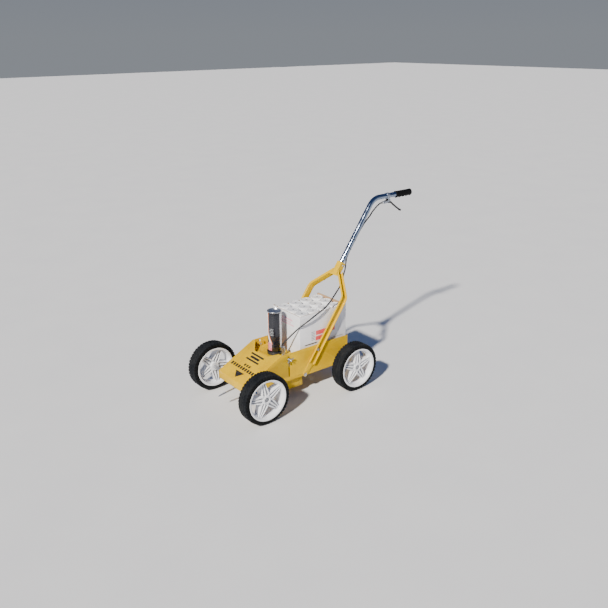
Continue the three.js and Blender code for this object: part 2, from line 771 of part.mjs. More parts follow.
// Wing bolt and nut, pointing out along +X from the bolt's axis.
const wingBolt = () => join(barX(7, 0, 0, 109, 112.7), barX(3, 0, 0, 112, 139, 12));

function wingNut() {
  const face = BODY_HALF + 0.4;
  const wing = outline([
    [4, face + 4],
    [18, face + 9],
    [19, face + 14],
    [14, face + 15],
    [4, face + 10],
  ]);
  const wings = [wing, outline(wing.getPoints().map((p) => [-p.x, p.y]))].map((shape) =>
    extrude(shape, 3, [Y, X, new THREE.Vector3(0, 0, -1)], -1.5),
  );
  const hub = join(barX(9, 0, 0, face, face + 2), barX(6.5, 0, 0, face + 1, face + 10.5));
  return cut(join(hub, ...wings), barX(3.3, 0, 0, face - 1, face + 20, 12));
}

// ---------------------------------------------------------------- paint cans
// The can in use stands on its head: its valve is at the bottom and its hollow base on top.
function sprayCan() {
  const top = CAN_RIM_Z;
  const body = turnZ(
    [
      [0, 190],
      [17.5, 190],
      [17.5, 195],
      [30.5, 203],
      [CAN_R, 208],
      [CAN_R, top],
      [CAN_R - 2, top],
      [31, top - 3],
      [18, top - 10],
      [0, top - 12.5],
    ],
    22,
  );
  return cut(body, barZ(2.6, 0, 0, 188, 200, 10));
}

const sprayTip = () => join(barZ(6, 0, 0, TIP_LOW, TIP_LOW + 6, 12), barZ(2, 0, 0, TIP_LOW + 5, 195, 12));

function spareCan() {
  const base = TRAY_TOP + GAP + CARTON_WALL + GAP;
  return turnZ(
    [
      [0, base],
      [SPARE_R, base],
      [SPARE_R, SPARE_TOP - 2],
      [SPARE_R - 2.5, SPARE_TOP],
      [0, SPARE_TOP],
    ],
    16,
  );
}

// Four cans that stand against each other from front to back.
function spareRow(x) {
  const middle = (CARTON_FRONT + CARTON_REAR) / 2;
  const cans = [-1.5, -0.5, 0.5, 1.5].map((k) => spareCan().translate([x, middle + k * SPARE_PITCH_Y, 0]));
  return join(...cans);
}

// An open box; its right wall is a little lower than the others.
function carton() {
  const low = TRAY_TOP + GAP;
  const inner = CARTON_HALF - CARTON_WALL;
  return cut(
    box(-CARTON_HALF, CARTON_HALF, CARTON_FRONT, CARTON_REAR, low, CARTON_TOP),
    box(
      -inner,
      inner,
      CARTON_FRONT + CARTON_WALL,
      CARTON_REAR - CARTON_WALL,
      low + CARTON_WALL,
      CARTON_TOP + 1,
    ),
    box(-CARTON_HALF - 1, -inner + 1, CARTON_FRONT + 12, CARTON_REAR - 12, CARTON_TOP - 12, CARTON_TOP + 1),
  );
}

// ---------------------------------------------------------------- the machine
const machine = new THREE.Group();

function placed(object, x, y, z) {
  object.position.set(x, y, z);
  return object;
}

for (const { side, sign } of SIDES) {
  machine.add(mesh(`side_panel_${side}`, sidePanel(sign), steelYellow()));
}
machine.add(
  mesh("nose_panel", nosePanel(), steelYellow()),
  mesh("tray_floor", trayFloor(), steelYellow()),
  mesh("tray_bulkhead", trayBulkhead(), steelYellow()),
  mesh("spray_shroud", sprayShroud(), steelYellow()),
  mesh("pointer_rod", pointerRod(), zinc()),
  mesh("pointer_bracket", pointerBracket(), zinc()),
);

const AXLES = [
  { end: "front", y: 0 },
  { end: "rear", y: WHEELBASE },
];
for (const { end, y } of AXLES) {
  const axle = mesh(`${end}_axle`, barX(AXLE_R, 0, 0, -AXLE_HALF, AXLE_HALF, 12), zinc());
  machine.add(placed(axle, 0, y, AXLE_Z));
  for (const { side, sign } of SIDES) {
    const wheel = placed(new THREE.Group(), sign * TRACK_HALF, y, AXLE_Z);
    wheel.rotation.z = sign > 0 ? 0 : Math.PI;
    wheel.add(
      mesh(`tyre_${end}_${side}`, tyre(), blackRubber()),
      mesh(`rim_${end}_${side}`, rim(), whitePlastic()),
      mesh(`axle_cap_${end}_${side}`, axleCap(), blackPlastic()),
      mesh(`axle_spacer_${end}_${side}`, axleSpacer(), zinc()),
    );
    machine.add(wheel);
  }
}

// The yoke's frame: x across, y up the slope, z along its normal.
const yoke = new THREE.Group();
yoke.rotation.x = YOKE_TILT;
yoke.position.set(0, slopeY(0, 0), slopeZ(0, 0));
for (const { side, sign } of SIDES) {
  yoke.add(mesh(`yoke_arm_${side}`, yokeArm(sign), steelYellow()));
}
yoke.add(
  mesh("handle_socket", handleSocket(), steelYellow()),
  mesh("socket_bolt", socketBolt(), zinc()),
  placed(mesh("cable_tie_upper", cableTie(955), blackPlastic()), 0, 0, TUBE_N),
  placed(mesh("cable_tie_lower", cableTie(905), blackPlastic()), 0, 0, TUBE_N),
);
machine.add(yoke);

function panelBolt(side, sign, name, s, n) {
  const bolt = join(
    barX(4, 0, 0, 111, 125, 8),
    hexBar(7.5, 0, 0, BODY_HALF + GAP + CHANNEL_T + GAP, 128.5),
    hexBar(7.5, 0, 0, 111.5, BODY_HALF - SHEET - GAP),
  );
  const made = placed(mesh(`${name}_${side}`, bolt, zinc()), 0, slopeY(s, n), slopeZ(s, n));
  made.rotation.z = sign > 0 ? 0 : Math.PI;
  return made;
}
for (const { side, sign } of SIDES) {
  machine.add(
    panelBolt(side, sign, "arm_foot_bolt", FOOT_BOLT_AT, FOOT_BOLT_N),
    panelBolt(side, sign, "arm_mid_bolt", MID_BOLT_AT, MID_BOLT_N),
  );
}

machine.add(
  mesh("handle_tube", handleTube(), chrome()),
  mesh("handle_grip", handleGrip(), blackRubber()),
  mesh("lever_clamp", leverClamp(), castAlloy()),
  mesh("lever_pin", leverPin(), zinc()),
  mesh("cable_adjuster", cableAdjuster(), zinc()),
  mesh("trigger_lever", triggerLever(), blackPlastic()),
  mesh("cable_housing", cableHousing(), blackPlastic()),
);

machine.add(
  mesh("can_carriage", canCarriage(), steelYellow()),
  placed(mesh("can_collar", canCollar(), blackPlastic()), 0, CAN_Y, 0),
  mesh("cable_bracket", cableBracket(), zinc()),
  mesh("cable_wire", innerWire(), zinc()),
  mesh("actuator_pin", actuatorPin(), zinc()),
  mesh("actuator_lever", actuatorLever(), zinc()),
);
for (const { side, sign } of SIDES) {
  const clamp = placed(new THREE.Group(), 0, WING_Y, WING_Z);
  clamp.rotation.z = sign > 0 ? 0 : Math.PI;
  clamp.add(mesh(`wing_bolt_${side}`, wingBolt(), zinc()), mesh(`wing_nut_${side}`, wingNut(), zinc()));
  machine.add(clamp);
}

machine.add(
  placed(mesh("spray_can", sprayCan(), canLabel()), 0, CAN_Y, 0),
  placed(mesh("spray_tip", sprayTip(), whitePlastic()), 0, CAN_Y, 0),
  mesh("carton", carton(), cardboard()),
);
for (const [k, name] of ["right", "middle", "left"].entries()) {
  machine.add(mesh(`spare_cans_${name}`, spareRow((k - 1) * SPARE_PITCH_X), whitePlastic()));
}

// The middle of the footprint becomes the origin.
machine.position.y = -(GRIP_TO - AXLE_Z) / 2;
const group = new THREE.Group();
group.add(machine);

export default group;
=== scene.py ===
# Line striping machine: the visible pieces, their materials, the light and the camera.
# Lengths in the piece code are millimetres from the ground point below the middle of the
# front axle, as in the CAD source; to_row() turns them into the row frame's metres.
import math

import bmesh
import bpy
from mathutils import Matrix, Vector


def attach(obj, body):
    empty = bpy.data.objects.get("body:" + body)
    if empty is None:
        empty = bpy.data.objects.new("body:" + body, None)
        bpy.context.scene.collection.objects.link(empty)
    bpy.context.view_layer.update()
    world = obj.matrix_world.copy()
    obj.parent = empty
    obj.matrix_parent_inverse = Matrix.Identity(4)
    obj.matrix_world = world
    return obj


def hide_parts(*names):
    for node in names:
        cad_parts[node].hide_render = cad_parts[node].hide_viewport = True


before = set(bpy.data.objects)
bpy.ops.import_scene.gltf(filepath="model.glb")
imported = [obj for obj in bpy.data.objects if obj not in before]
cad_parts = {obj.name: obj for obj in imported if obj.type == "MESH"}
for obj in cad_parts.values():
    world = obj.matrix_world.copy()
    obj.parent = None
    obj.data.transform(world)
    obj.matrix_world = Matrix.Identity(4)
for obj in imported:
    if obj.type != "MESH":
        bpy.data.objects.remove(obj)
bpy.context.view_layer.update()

# ---------------------------------------------------------------- dimensions (mm)
GAP = 0.3
AXLE_Z = 119
WHEELBASE = 530
TRACK_HALF = 220
SPOKE_FROM, SPOKE_TO = 17.5, 86.2
BODY_HALF = 120
BODY_TOP = 238.7
BODY_BOTTOM = 99
BODY_REAR = 571
NOSE_TOP_Y = 172.5
NOSE_FRONT_Y = -24
NOSE_FOLD_Z = 135
NOSE_LIP_Z = 97.3
NOSE_SLOPE = (BODY_TOP - NOSE_FOLD_Z) / (NOSE_TOP_Y - NOSE_FRONT_Y)
TRAY_TOP = 140
TRAY_HALF = 117.7
BULKHEAD_Y = 283.7
SHROUD_HALF = 103
SHROUD_FRONT = 150
SHROUD_REAR = 305
SHROUD_LOW = 45
TILT = math.radians(55)
YOKE_PLANE = -192.5
CHANNEL_HALF = 17.5
CHANNEL_T = 2.5
CHANNEL_DEPTH = 11
SOCKET_HALF = 15.2
SOCKET_FROM, SOCKET_TO = 765, 828
SOCKET_BOLT_AT = 815
FOOT_BOLT = (260.5, 2)
MID_BOLT = (395, 0.5)
TUBE_R = 12.7
TUBE_N = 2.5
TUBE_BEND_R = 75
BAR_Z = 860.5
BAR_END_Y = 1084
GRIP_FROM = 983
GRIP_TO = 1088.5
GRIP_R = 15.8
LEVER_Y, LEVER_Z = 939, 837
CLAMP_FROM, CLAMP_TO = 920, 936
CABLE_STOP_Z = 829
STOP_FROM, STOP_TO = 902, 907
ADJUSTER_Y = 896
CABLE_R = 3.5
CAN_Y = 220
DECK_Z = 200
WING_Y, WING_Z = 214, 207
WIRE_X, WIRE_Y = 46, 228
PIVOT_X, PIVOT_Z = -50, 178
# the row frame's origin is below the middle of the machine's length
SHIFT_Y = -(GRIP_TO - AXLE_Z) / 2


def to_row(p):
    return Vector((p[0], p[1] + SHIFT_Y, p[2])) / 1000


def slope_point(x, s, n):
    """A point of the yoke's frame: x across, s up the slope, n along its normal."""
    c, k = math.cos(TILT), math.sin(TILT)
    n += YOKE_PLANE
    return Vector((x, s * c - n * k, s * k + n * c))


YOKE = Matrix.Translation(slope_point(0, 0, 0)) @ Matrix.Rotation(TILT, 4, "X")


# ---------------------------------------------------------------- camera
def aim_camera():
    yaw, pitch, roll = (math.radians(a) for a in (52.439, 20.538, -0.498))
    back = Vector((math.sin(yaw) * math.cos(pitch), -math.cos(yaw) * math.cos(pitch), math.sin(pitch)))
    right = Vector((0, 0, 1)).cross(back).normalized()
    up = back.cross(right)
    turned_right = right * math.cos(roll) + up * math.sin(roll)
    turned_up = up * math.cos(roll) - right * math.sin(roll)
    data = bpy.data.cameras.new("camera")
    data.lens = 42.63
    data.sensor_width = 36
    camera = bpy.data.objects.new("camera", data)
    turn = Matrix((turned_right, turned_up, back)).transposed().to_4x4()
    camera.matrix_world = Matrix.Translation(to_row((2573.9, -1583.4, 1621.9))) @ turn
    bpy.context.scene.collection.objects.link(camera)
    bpy.context.scene.camera = camera


aim_camera()


# ---------------------------------------------------------------- shaders
class Shader:
    """A node material in a few calls; every pattern reads the piece's own coordinates."""

    def __init__(self, name, roughness=0.5, metallic=0.0, **constants):
        self.material = bpy.data.materials.new(name)
        self.material.use_nodes = True
        self.tree = self.material.node_tree
        self.tree.nodes.clear()
        self.out = self.tree.nodes.new("ShaderNodeOutputMaterial")
        self.bsdf = self.tree.nodes.new("ShaderNodeBsdfPrincipled")
        self.tree.links.new(self.bsdf.outputs[0], self.out.inputs[0])
        self.bsdf.inputs["Roughness"].default_value = roughness
        self.bsdf.inputs["Metallic"].default_value = metallic
        for key, value in constants.items():
            self.bsdf.inputs[key.replace("_", " ")].default_value = value
        self.coords = self.tree.nodes.new("ShaderNodeTexCoord").outputs["Object"]

    def node(self, kind, **settings):
        made = self.tree.nodes.new(kind)
        for key, value in settings.items():
            setattr(made, key, value)
        return made

    def feed(self, socket, value):
        if isinstance(value, bpy.types.NodeSocket):
            self.tree.links.new(value, socket)
        elif value is not None:
            socket.default_value = value

    def scaled(self, x, y, z):
        mapping = self.node("ShaderNodeMapping")
        self.feed(mapping.inputs["Vector"], self.coords)
        mapping.inputs["Scale"].default_value = (x, y, z)
        return mapping.outputs[0]

    def noise(self, scale, detail=3, rough=0.55, vector=None):
        made = self.node("ShaderNodeTexNoise")
        self.feed(made.inputs["Vector"], vector or self.coords)
        made.inputs["Scale"].default_value = scale
        made.inputs["Detail"].default_value = detail
        made.inputs["Roughness"].default_value = rough
        return made.outputs["Fac"]

    def cells(self, scale):
        made = self.node("ShaderNodeTexVoronoi")
        self.feed(made.inputs["Vector"], self.coords)
        made.inputs["Scale"].default_value = scale
        return made.outputs["Distance"]

    def spread(self, value, low, high, to_low=0.0, to_high=1.0):
        made = self.node("ShaderNodeMapRange")
        made.clamp = True
        self.feed(made.inputs[0], value)
        for i, v in enumerate((low, high, to_low, to_high), 1):
            made.inputs[i].default_value = v
        return made.outputs[0]

    def calc(self, operation, a, b=None, c=None):
        made = self.node("ShaderNodeMath", operation=operation)
        for socket, value in zip(made.inputs, (a, b, c)):
            self.feed(socket, value)
        return made.outputs[0]

    def times(self, a, b):
        return self.calc("MULTIPLY", a, b)

    def mix(self, factor, a, b):
        made = self.node("ShaderNodeMix", data_type="RGBA")
        self.feed(made.inputs["Factor"], factor)
        for socket, value in ((made.inputs[6], a), (made.inputs[7], b)):
            self.feed(socket, (*value, 1) if isinstance(value, tuple) else value)
        return made.outputs[2]

    def axis(self, letter):
        made = self.node("ShaderNodeSeparateXYZ")
        self.feed(made.inputs[0], self.coords)
        return made.outputs[letter.upper()]

    def edges(self, radius=0.0012):
        """1 on the object's sharp edges, 0 on its faces."""
        soft = self.node("ShaderNodeBevel", samples=4)
        soft.inputs["Radius"].default_value = radius
        geometry = self.node("ShaderNodeNewGeometry")
        dot = self.node("ShaderNodeVectorMath", operation="DOT_PRODUCT")
        self.feed(dot.inputs[0], soft.outputs[0])
        self.feed(dot.inputs[1], geometry.outputs["Normal"])
        return self.spread(self.calc("SUBTRACT", 1.0, dot.outputs["Value"]), 0.01, 0.12)

    def colour(self, value):
        self.feed(self.bsdf.inputs["Base Color"], (*value, 1) if isinstance(value, tuple) else value)
        return self

    def roughness(self, value):
        self.feed(self.bsdf.inputs["Roughness"], value)
        return self

    def mottled(self, low, high, scale, *noise):
        """Roughness that varies between two values."""
        return self.roughness(self.spread(self.noise(scale, *noise), 0.3, 0.7, low, high))

    def metallic(self, value):
        self.feed(self.bsdf.inputs["Metallic"], value)
        return self

    def bump(self, *layers):
        """Each layer is (height, depth in mm)."""
        normal = None
        for height, depth in layers:
            made = self.node("ShaderNodeBump")
            made.inputs["Distance"].default_value = depth / 1000
            made.inputs["Strength"].default_value = 1
            self.feed(made.inputs["Height"], height)
            if normal:
                self.feed(made.inputs["Normal"], normal)
            normal = made.outputs[0]
        self.feed(self.bsdf.inputs["Normal"], normal)
        return self


def enamel(name, light, deep, chip_low=0.60):
    """Enamel on sheet steel: orange peel, faded patches, dust low down, chipped edges."""
    s = Shader(name, Coat_Weight=0.06, Coat_Roughness=0.12, Specular_IOR_Level=0.14)
    faded = s.mix(s.spread(s.noise(9, 4), 0.35, 0.68), deep, light)
    speckle = s.spread(s.noise(240, 5, 0.7), 0.62, 0.74)
    dirty = s.mix(s.times(speckle, 0.16), faded, (0.30, 0.18, 0.03))
    low = s.spread(s.axis("z"), 0.19, 0.04, 0.0, 0.45)
    dust = s.times(low, s.spread(s.noise(38, 6, 0.65), 0.42, 0.66))
    dusty = s.mix(dust, dirty, (0.30, 0.19, 0.04))
    chips = s.times(s.edges(), s.spread(s.noise(95, 4, 0.7), chip_low, chip_low + 0.05))
    s.colour(s.mix(chips, dusty, (0.20, 0.17, 0.15)))
    s.metallic(s.times(chips, 0.8))
    rough = s.calc("ADD", s.spread(s.noise(22, 4), 0.3, 0.7, 0.22, 0.36), s.times(dust, 0.4))
    s.roughness(s.calc("ADD", rough, s.times(chips, 0.2)))
    return s.bump((s.noise(420, 2), 0.045), (s.noise(28, 2), 0.25), (chips, -0.12)).material


def plated(name, base=(0.62, 0.63, 0.66), rough=(0.22, 0.42)):
    """Bright zinc: a mottled spangle and random dull stains."""
    s = Shader(name, metallic=0.92)
    spangle = s.spread(s.cells(260), 0.1, 0.7)
    tone = s.mix(spangle, tuple(0.78 * c for c in base), base)
    stain = s.spread(s.noise(70, 5, 0.7), 0.56, 0.72, 0, 0.55)
    s.colour(s.mix(stain, tone, (0.26, 0.22, 0.18)))
    s.mottled(*rough, 150, 4)
    return s.bump((s.noise(900, 2), 0.03)).material


def chrome():
    """Polished tube with faint draw lines, dull spots and thumb marks; its blue base tones are a painted
    reflection of the sky.
    """
    s = Shader("chrome_tube", metallic=1.0)
    spots = s.spread(s.noise(330, 3, 0.7), 0.66, 0.74)
    smear = s.spread(s.noise(24, 4, 0.6), 0.45, 0.7)
    # the two blue base tones are a painted reflection of the sky on the tube's sides; the smear noise
    # varies between them
    tone = s.mix(smear, (0.27, 0.33, 0.44), (0.21, 0.26, 0.36))
    s.colour(s.mix(s.times(spots, 0.6), tone, (0.30, 0.24, 0.18)))
    s.roughness(s.calc("ADD", s.spread(smear, 0, 1, 0.10, 0.24), s.times(spots, 0.3)))
    return s.bump((s.noise(60, 2, vector=s.scaled(9, 0.6, 0.6)), 0.02)).material


def rubber(name, dark, dusty, dust):
    s = Shader(name, Specular_IOR_Level=0.12)
    grey = s.mix(s.spread(s.noise(60, 5, 0.7), 0.35, 0.75), dark, tuple(2.1 * c for c in dark))
    film = s.times(s.spread(s.noise(24, 6, 0.7), 0.42, 0.70), dust)
    s.colour(s.mix(film, grey, dusty))
    s.mottled(0.55, 0.82, 110, 4)
    return s.bump((s.noise(700, 3, 0.7), 0.05), (s.cells(190), 0.04)).material


def plastic(name, light, shade, grime=0.35):
    """Moulded plastic: fine grain, scuffs and a little dirt."""
    s = Shader(name, Specular_IOR_Level=0.5)
    tone = s.mix(s.spread(s.noise(16, 4), 0.35, 0.7), light, shade)
    dirt = s.times(s.spread(s.noise(85, 6, 0.72), 0.57, 0.74), grime)
    s.colour(s.mix(dirt, tone, (0.20, 0.16, 0.11)))
    s.mottled(0.32, 0.5, 60, 5, 0.6)
    return s.bump((s.noise(1100, 2), 0.03)).material


def cast():
    s = Shader("cast_alloy", metallic=0.85)
    s.colour(s.mix(s.spread(s.noise(120, 5, 0.7), 0.4, 0.7), (0.38, 0.42, 0.50), (0.27, 0.29, 0.34)))
    s.mottled(0.28, 0.48, 90, 4)
    return s.bump((s.noise(520, 4, 0.7), 0.06)).material


def board(name, light, shade):
    """Corrugated board: soft flute lines under the paper, scuffs and fibre."""
    s = Shader(name, Specular_IOR_Level=0.25)
    tone = s.mix(s.spread(s.noise(11, 5), 0.35, 0.7), light, shade)
    scuff = s.spread(s.noise(48, 7, 0.75), 0.62, 0.76, 0, 0.35)
    corners = s.times(s.edges(0.0025), s.spread(s.noise(70, 4), 0.45, 0.6, 0, 0.7))
    worn = s.mix(scuff, tone, (0.50, 0.44, 0.37))
    s.colour(s.mix(corners, worn, (0.42, 0.31, 0.20)))
    s.mottled(0.62, 0.85, 200, 3)
    sideways = s.calc("ADD", s.axis("x"), s.axis("y"))
    flutes = s.calc("SINE", s.times(sideways, 2 * math.pi / 0.0065))
    return s.bump((flutes, 0.05), (s.noise(650, 4, 0.7), 0.04), (s.noise(14, 2), 0.8)).material


def print_ink(name, colour):
    """A printed or stuck-on patch: slightly uneven ink."""
    s = Shader(name)
    thin = s.spread(s.noise(420, 4, 0.7), 0.60, 0.72, 0, 0.4)
    s.colour(s.mix(thin, colour, tuple(min(1, c * 0.6 + 0.25) for c in colour)))
    s.mottled(0.37, 0.53, 120, 3)
    return s.bump((s.noise(800, 2), 0.02)).material


def can_label():
    """Printed tinplate: black label, a white band with a slanted foot, a thin orange edge,
    a pink corner and a bare metal stripe at the seam."""
    s = Shader("can_label", Coat_Weight=0.4, Coat_Roughness=0.08)
    x, z = s.axis("x"), s.axis("z")
    y = s.calc("SUBTRACT", s.axis("y"), (CAN_Y + SHIFT_Y) / 1000)
    # degrees round the can, growing towards +X from the side that faces forward
    angle = s.times(s.calc("ARCTAN2", x, s.times(y, -1.0)), 180 / math.pi)
    height = s.times(z, 1000.0)

    def between(value, low, high):
        return s.times(s.calc("GREATER_THAN", value, low), s.calc("LESS_THAN", value, high))

    # below 310 mm the white band and its orange edge slant towards +X
    slant = s.times(s.spread(height, 310, 262, 0, 1), 34.0)
    local = s.calc("SUBTRACT", angle, slant)
    above = s.calc("GREATER_THAN", height, 256.0)
    white = s.times(between(local, -28, -8), above)
    orange = s.times(between(local, -8, -2), above)
    low_patch = s.times(between(height, 222, 262), s.calc("LESS_THAN", local, -6.0))
    dots = s.calc("GREATER_THAN", s.cells(230), 0.33)
    metal = between(angle, 101, 141)
    ink = s.mix(s.spread(s.noise(300, 3), 0.3, 0.7), (0.006, 0.007, 0.012), (0.012, 0.013, 0.020))
    tone = s.mix(white, ink, (0.86, 0.86, 0.88))
    tone = s.mix(orange, tone, (0.90, 0.22, 0.04))
    pink = s.mix(dots, (0.92, 0.70, 0.74), (0.85, 0.20, 0.30))
    tone = s.mix(low_patch, tone, pink)
    # rows of short pale dashes stand in for small print
    rows = s.calc("GREATER_THAN", s.calc("SINE", s.times(height, 2 * math.pi / 7.5)), 0.25)
    dashes = s.calc("GREATER_THAN", s.calc("SINE", s.times(angle, 2 * math.pi / 9.5)), -0.2)
    area = s.times(between(angle, 8, 46), between(height, 296, 333))
    small = s.times(s.times(rows, dashes), area)
    tone = s.mix(s.times(small, 0.75), tone, (0.70, 0.72, 0.75))
    s.colour(s.mix(metal, tone, (0.60, 0.61, 0.64)))
    s.metallic(s.times(metal, 0.9))
    s.mottled(0.20, 0.34, 80, 4)
    return s.bump((s.noise(240, 2), 0.03)).material


YELLOW = enamel("yellow_enamel", (0.76, 0.48, 0.0), (0.64, 0.38, 0.0))
ZINC = plated("bright_zinc")
STEEL = plated("tinplate", (0.46, 0.49, 0.54), (0.24, 0.38))
CHROME = chrome()
SIDEWALL = rubber("tyre_sidewall", (0.0025, 0.0028, 0.0032), (0.014, 0.014, 0.014), 0.25)
# the tread's lighter grey film is partly dust and partly a painted highlight on the lugs
TREAD_DUST_AND_HIGHLIGHT = rubber("tyre_tread_dust_and_highlight", (0.006, 0.007, 0.009), (0.032, 0.033, 0.033), 0.5)
RIM = plastic("rim_plastic", (0.83, 0.84, 0.87), (0.72, 0.73, 0.77))
# the grooves' darker grey is partly painted shade in the hollows between the ridges and partly dirt
GROOVE_SHADE_AND_DIRT = plastic("rim_groove_shade_and_dirt", (0.30, 0.31, 0.34), (0.20, 0.21, 0.23))
CAP = plastic("cap_plastic", (0.88, 0.88, 0.90), (0.78, 0.79, 0.82), grime=0.15)
BLACK = plastic("black_plastic", (0.020, 0.020, 0.022), (0.036, 0.036, 0.040), grime=0.12)
GREY = plastic("grey_plastic", (0.30, 0.31, 0.33), (0.20, 0.21, 0.23))
GRIP = rubber("grip_rubber", (0.002, 0.002, 0.0024), (0.010, 0.010, 0.010), 0.2)
LEVER = enamel("black_enamel", (0.020, 0.020, 0.022), (0.030, 0.030, 0.034), 0.56)
CAST = cast()
CARTON = board("carton_white", (0.84, 0.84, 0.87), (0.76, 0.76, 0.80))
KRAFT = board("carton_kraft", (0.50, 0.33, 0.19), (0.40, 0.26, 0.15))
INK = print_ink("black_ink", (0.018, 0.016, 0.014))
RED = print_ink("red_ink", (0.80, 0.10, 0.12))
PINK = print_ink("pink_ink", (0.88, 0.45, 0.56))
INK_GREY = print_ink("grey_ink", (0.30, 0.31, 0.34))
LABEL = can_label()


# ---------------------------------------------------------------- mesh making
def add_faces(bm, rings, closed_ring=True, closed_path=False):
    """Skins a list of rings of points, with a cap at each open end."""
    made = [[bm.verts.new(p) for p in ring] for ring in rings]
    count = len(made[0])
    spans = len(made) if closed_path else len(made) - 1
    for i in range(spans):
        a, b = made[i], made[(i + 1) % len(made)]
        for j in range(count if closed_ring else count - 1):
            k = (j + 1) % count
            bm.faces.new((a[j], a[k], b[k], b[j]))
    if not closed_path:
        bm.faces.new(reversed(made[0]))
        bm.faces.new(made[-1])


def round_turns(count, phase=0.0):
    """Angles evenly spaced round a circle, the first at phase steps."""
    return [2 * math.pi * (k + phase) / count for k in range(count)]


def corners(a0, a1, b0, b1):
    """The four corners of a rectangle, in order round it."""
    return ((a0, b0), (a1, b0), (a1, b1), (a0, b1))


def block(bm, x0, x1, y0, y1, z0, z1):
    add_faces(bm, [[(x, y, z) for y, z in corners(y0, y1, z0, z1)] for x in (x0, x1)])


def prism(bm, points, axis, a0, a1):
    """An outline in the other two axes, in X, Y, Z order, between two positions along axis."""
    i = "XYZ".index(axis)

    def at(p, a):
        p = list(p)
        p.insert(i, a)
        return p

    add_faces(bm, [[at(p, a) for p in points] for a in (a0, a1)])


def hole(bm, axis, centre, r, a0, a1):
    """A 24-sided cutter for a round hole."""
    prism(bm, arc(*centre, r, 0, 345, 23), axis, a0, a1)


def turned(bm, profile, axis, centre, sides=64, closed=False):
    """Profile points are (radius, position along axis); centre is the other two coordinates."""
    i = "XYZ".index(axis)
    rings = []
    for t in round_turns(sides, 0.5):
        ring = []
        for r, a in profile:
            p = [centre[0] + r * math.cos(t), centre[1] + r * math.sin(t)]
            p.insert(i, a)
            ring.append(p)
        rings.append(ring)
    add_faces(bm, rings, closed_ring=closed, closed_path=True)


def rod(bm, r, axis, centre, a0, a1, sides=32, chamfer=0.5):
    flat = r - chamfer
    profile = [(0, a0), (flat, a0), (r, a0 + chamfer), (r, a1 - chamfer), (flat, a1), (0, a1)]
    turned(bm, profile, axis, centre, sides)


def sweep(bm, points, radius, sides):
    """A round bar along points; radius may be one number or one for each point."""
    points = [Vector(p) for p in points]
    radii = radius if isinstance(radius, (list, tuple)) else [radius] * len(points)
    ahead = (points[1] - points[0]).normalized()
    side = ahead.orthogonal().normalized()
    rings = []
    for i, p in enumerate(points):
        before = points[max(i - 1, 0)]
        after = points[min(i + 1, len(points) - 1)]
        tangent = (after - before).normalized()
        side = (side - tangent * side.dot(tangent)).normalized()
        up = tangent.cross(side)
        ring = []
        for t in round_turns(sides):
            ring.append(p + (side * math.cos(t) + up * math.sin(t)) * radii[i])
        rings.append(ring)
    add_faces(bm, rings)


def smooth_path(points, per_span):
    """A centripetal curve through the points."""
    pts = [Vector(p) for p in points]
    pts = [pts[0] * 2 - pts[1], *pts, pts[-1] * 2 - pts[-2]]
    made = []
    for i in range(1, len(pts) - 2):
        p = pts[i - 1 : i + 3]
        t = [0.0]
        for a, b in zip(p, p[1:]):
            t.append(t[-1] + max((b - a).length, 1e-6) ** 0.5)
        for k in range(per_span):
            u = t[1] + (t[2] - t[1]) * k / per_span
            a = [(p[j] * (t[j + 1] - u) + p[j + 1] * (u - t[j])) / (t[j + 1] - t[j]) for j in range(3)]
            b = [(a[j] * (t[j + 2] - u) + a[j + 1] * (u - t[j])) / (t[j + 2] - t[j]) for j in range(2)]
            made.append((b[0] * (t[2] - u) + b[1] * (u - t[1])) / (t[2] - t[1]))
    return [*made, pts[-2]]


def clean(bm):
    bmesh.ops.remove_doubles(bm, verts=bm.verts, dist=0.0005)
    bmesh.ops.recalc_face_normals(bm, faces=bm.faces)


def evaluated(obj):
    """Applies the object's modifiers."""
    graph = bpy.context.evaluated_depsgraph_get()
    graph.update()
    mesh = bpy.data.meshes.new_from_object(obj.evaluated_get(graph))
    old = obj.data
    obj.modifiers.clear()
    obj.data = mesh
    bpy.data.meshes.remove(old)


def data_of(name, bm):
    mesh = bpy.data.meshes.new(name)
    bm.to_mesh(mesh)
    bm.free()
    return mesh


def placed(mesh):
    obj = bpy.data.objects.new(mesh.name, mesh)
    bpy.context.scene.collection.objects.link(obj)
    return obj


def copy_of(mesh):
    """A new object with its own copy of a repeated mesh."""
    return placed(mesh.copy())


def raw(name, bm):
    """The finished object of a mesh still being made."""
    clean(bm)
    return placed(data_of(name, bm))


def carve(obj, cutter, operation="DIFFERENCE"):
    mod = obj.modifiers.new("cut", "BOOLEAN")
    mod.operation = operation
    mod.solver = "EXACT"
    mod.object = cutter
    evaluated(obj)
    bpy.data.objects.remove(cutter)


def shape(make, *args, **kwargs):
    """An object in millimetres from one mesh call."""
    bm = bmesh.new()
    make(bm, *args, **kwargs)
    return raw("tool", bm)


TO_ROW = Matrix.Diagonal((0.001, 0.001, 0.001, 1)) @ Matrix.Translation((0, SHIFT_Y, 0))


def piece(obj, name, material, body, slot, replaces=(), bevel=0.0, segments=2, angle=35, matrix=None):
    """Finishes an object made in millimetres: round its edges, set it in the row frame, let it ride."""
    obj.name = name
    obj.data.name = name
    if bevel:
        mod = obj.modifiers.new("bevel", "BEVEL")
        mod.width = bevel
        mod.segments = segments
        mod.limit_method = "ANGLE"
        mod.angle_limit = math.radians(angle)
        mod.use_clamp_overlap = True
        evaluated(obj)
    mesh = obj.data
    mesh.transform(TO_ROW @ matrix if matrix is not None else TO_ROW)
    for polygon in mesh.polygons:
        polygon.use_smooth = True
    mesh.set_sharp_from_angle(angle=math.radians(angle))
    for made in material if isinstance(material, (list, tuple)) else (material,):
        mesh.materials.append(made)
    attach(obj, body)
    if replaces:
        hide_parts(*([replaces] if isinstance(replaces, str) else replaces))
    return obj


def together(*calls):
    """One object from several mesh calls, each a function with its arguments."""
    bm = bmesh.new()
    for make, *args in calls:
        make(bm, *args)
    return raw("tool", bm)


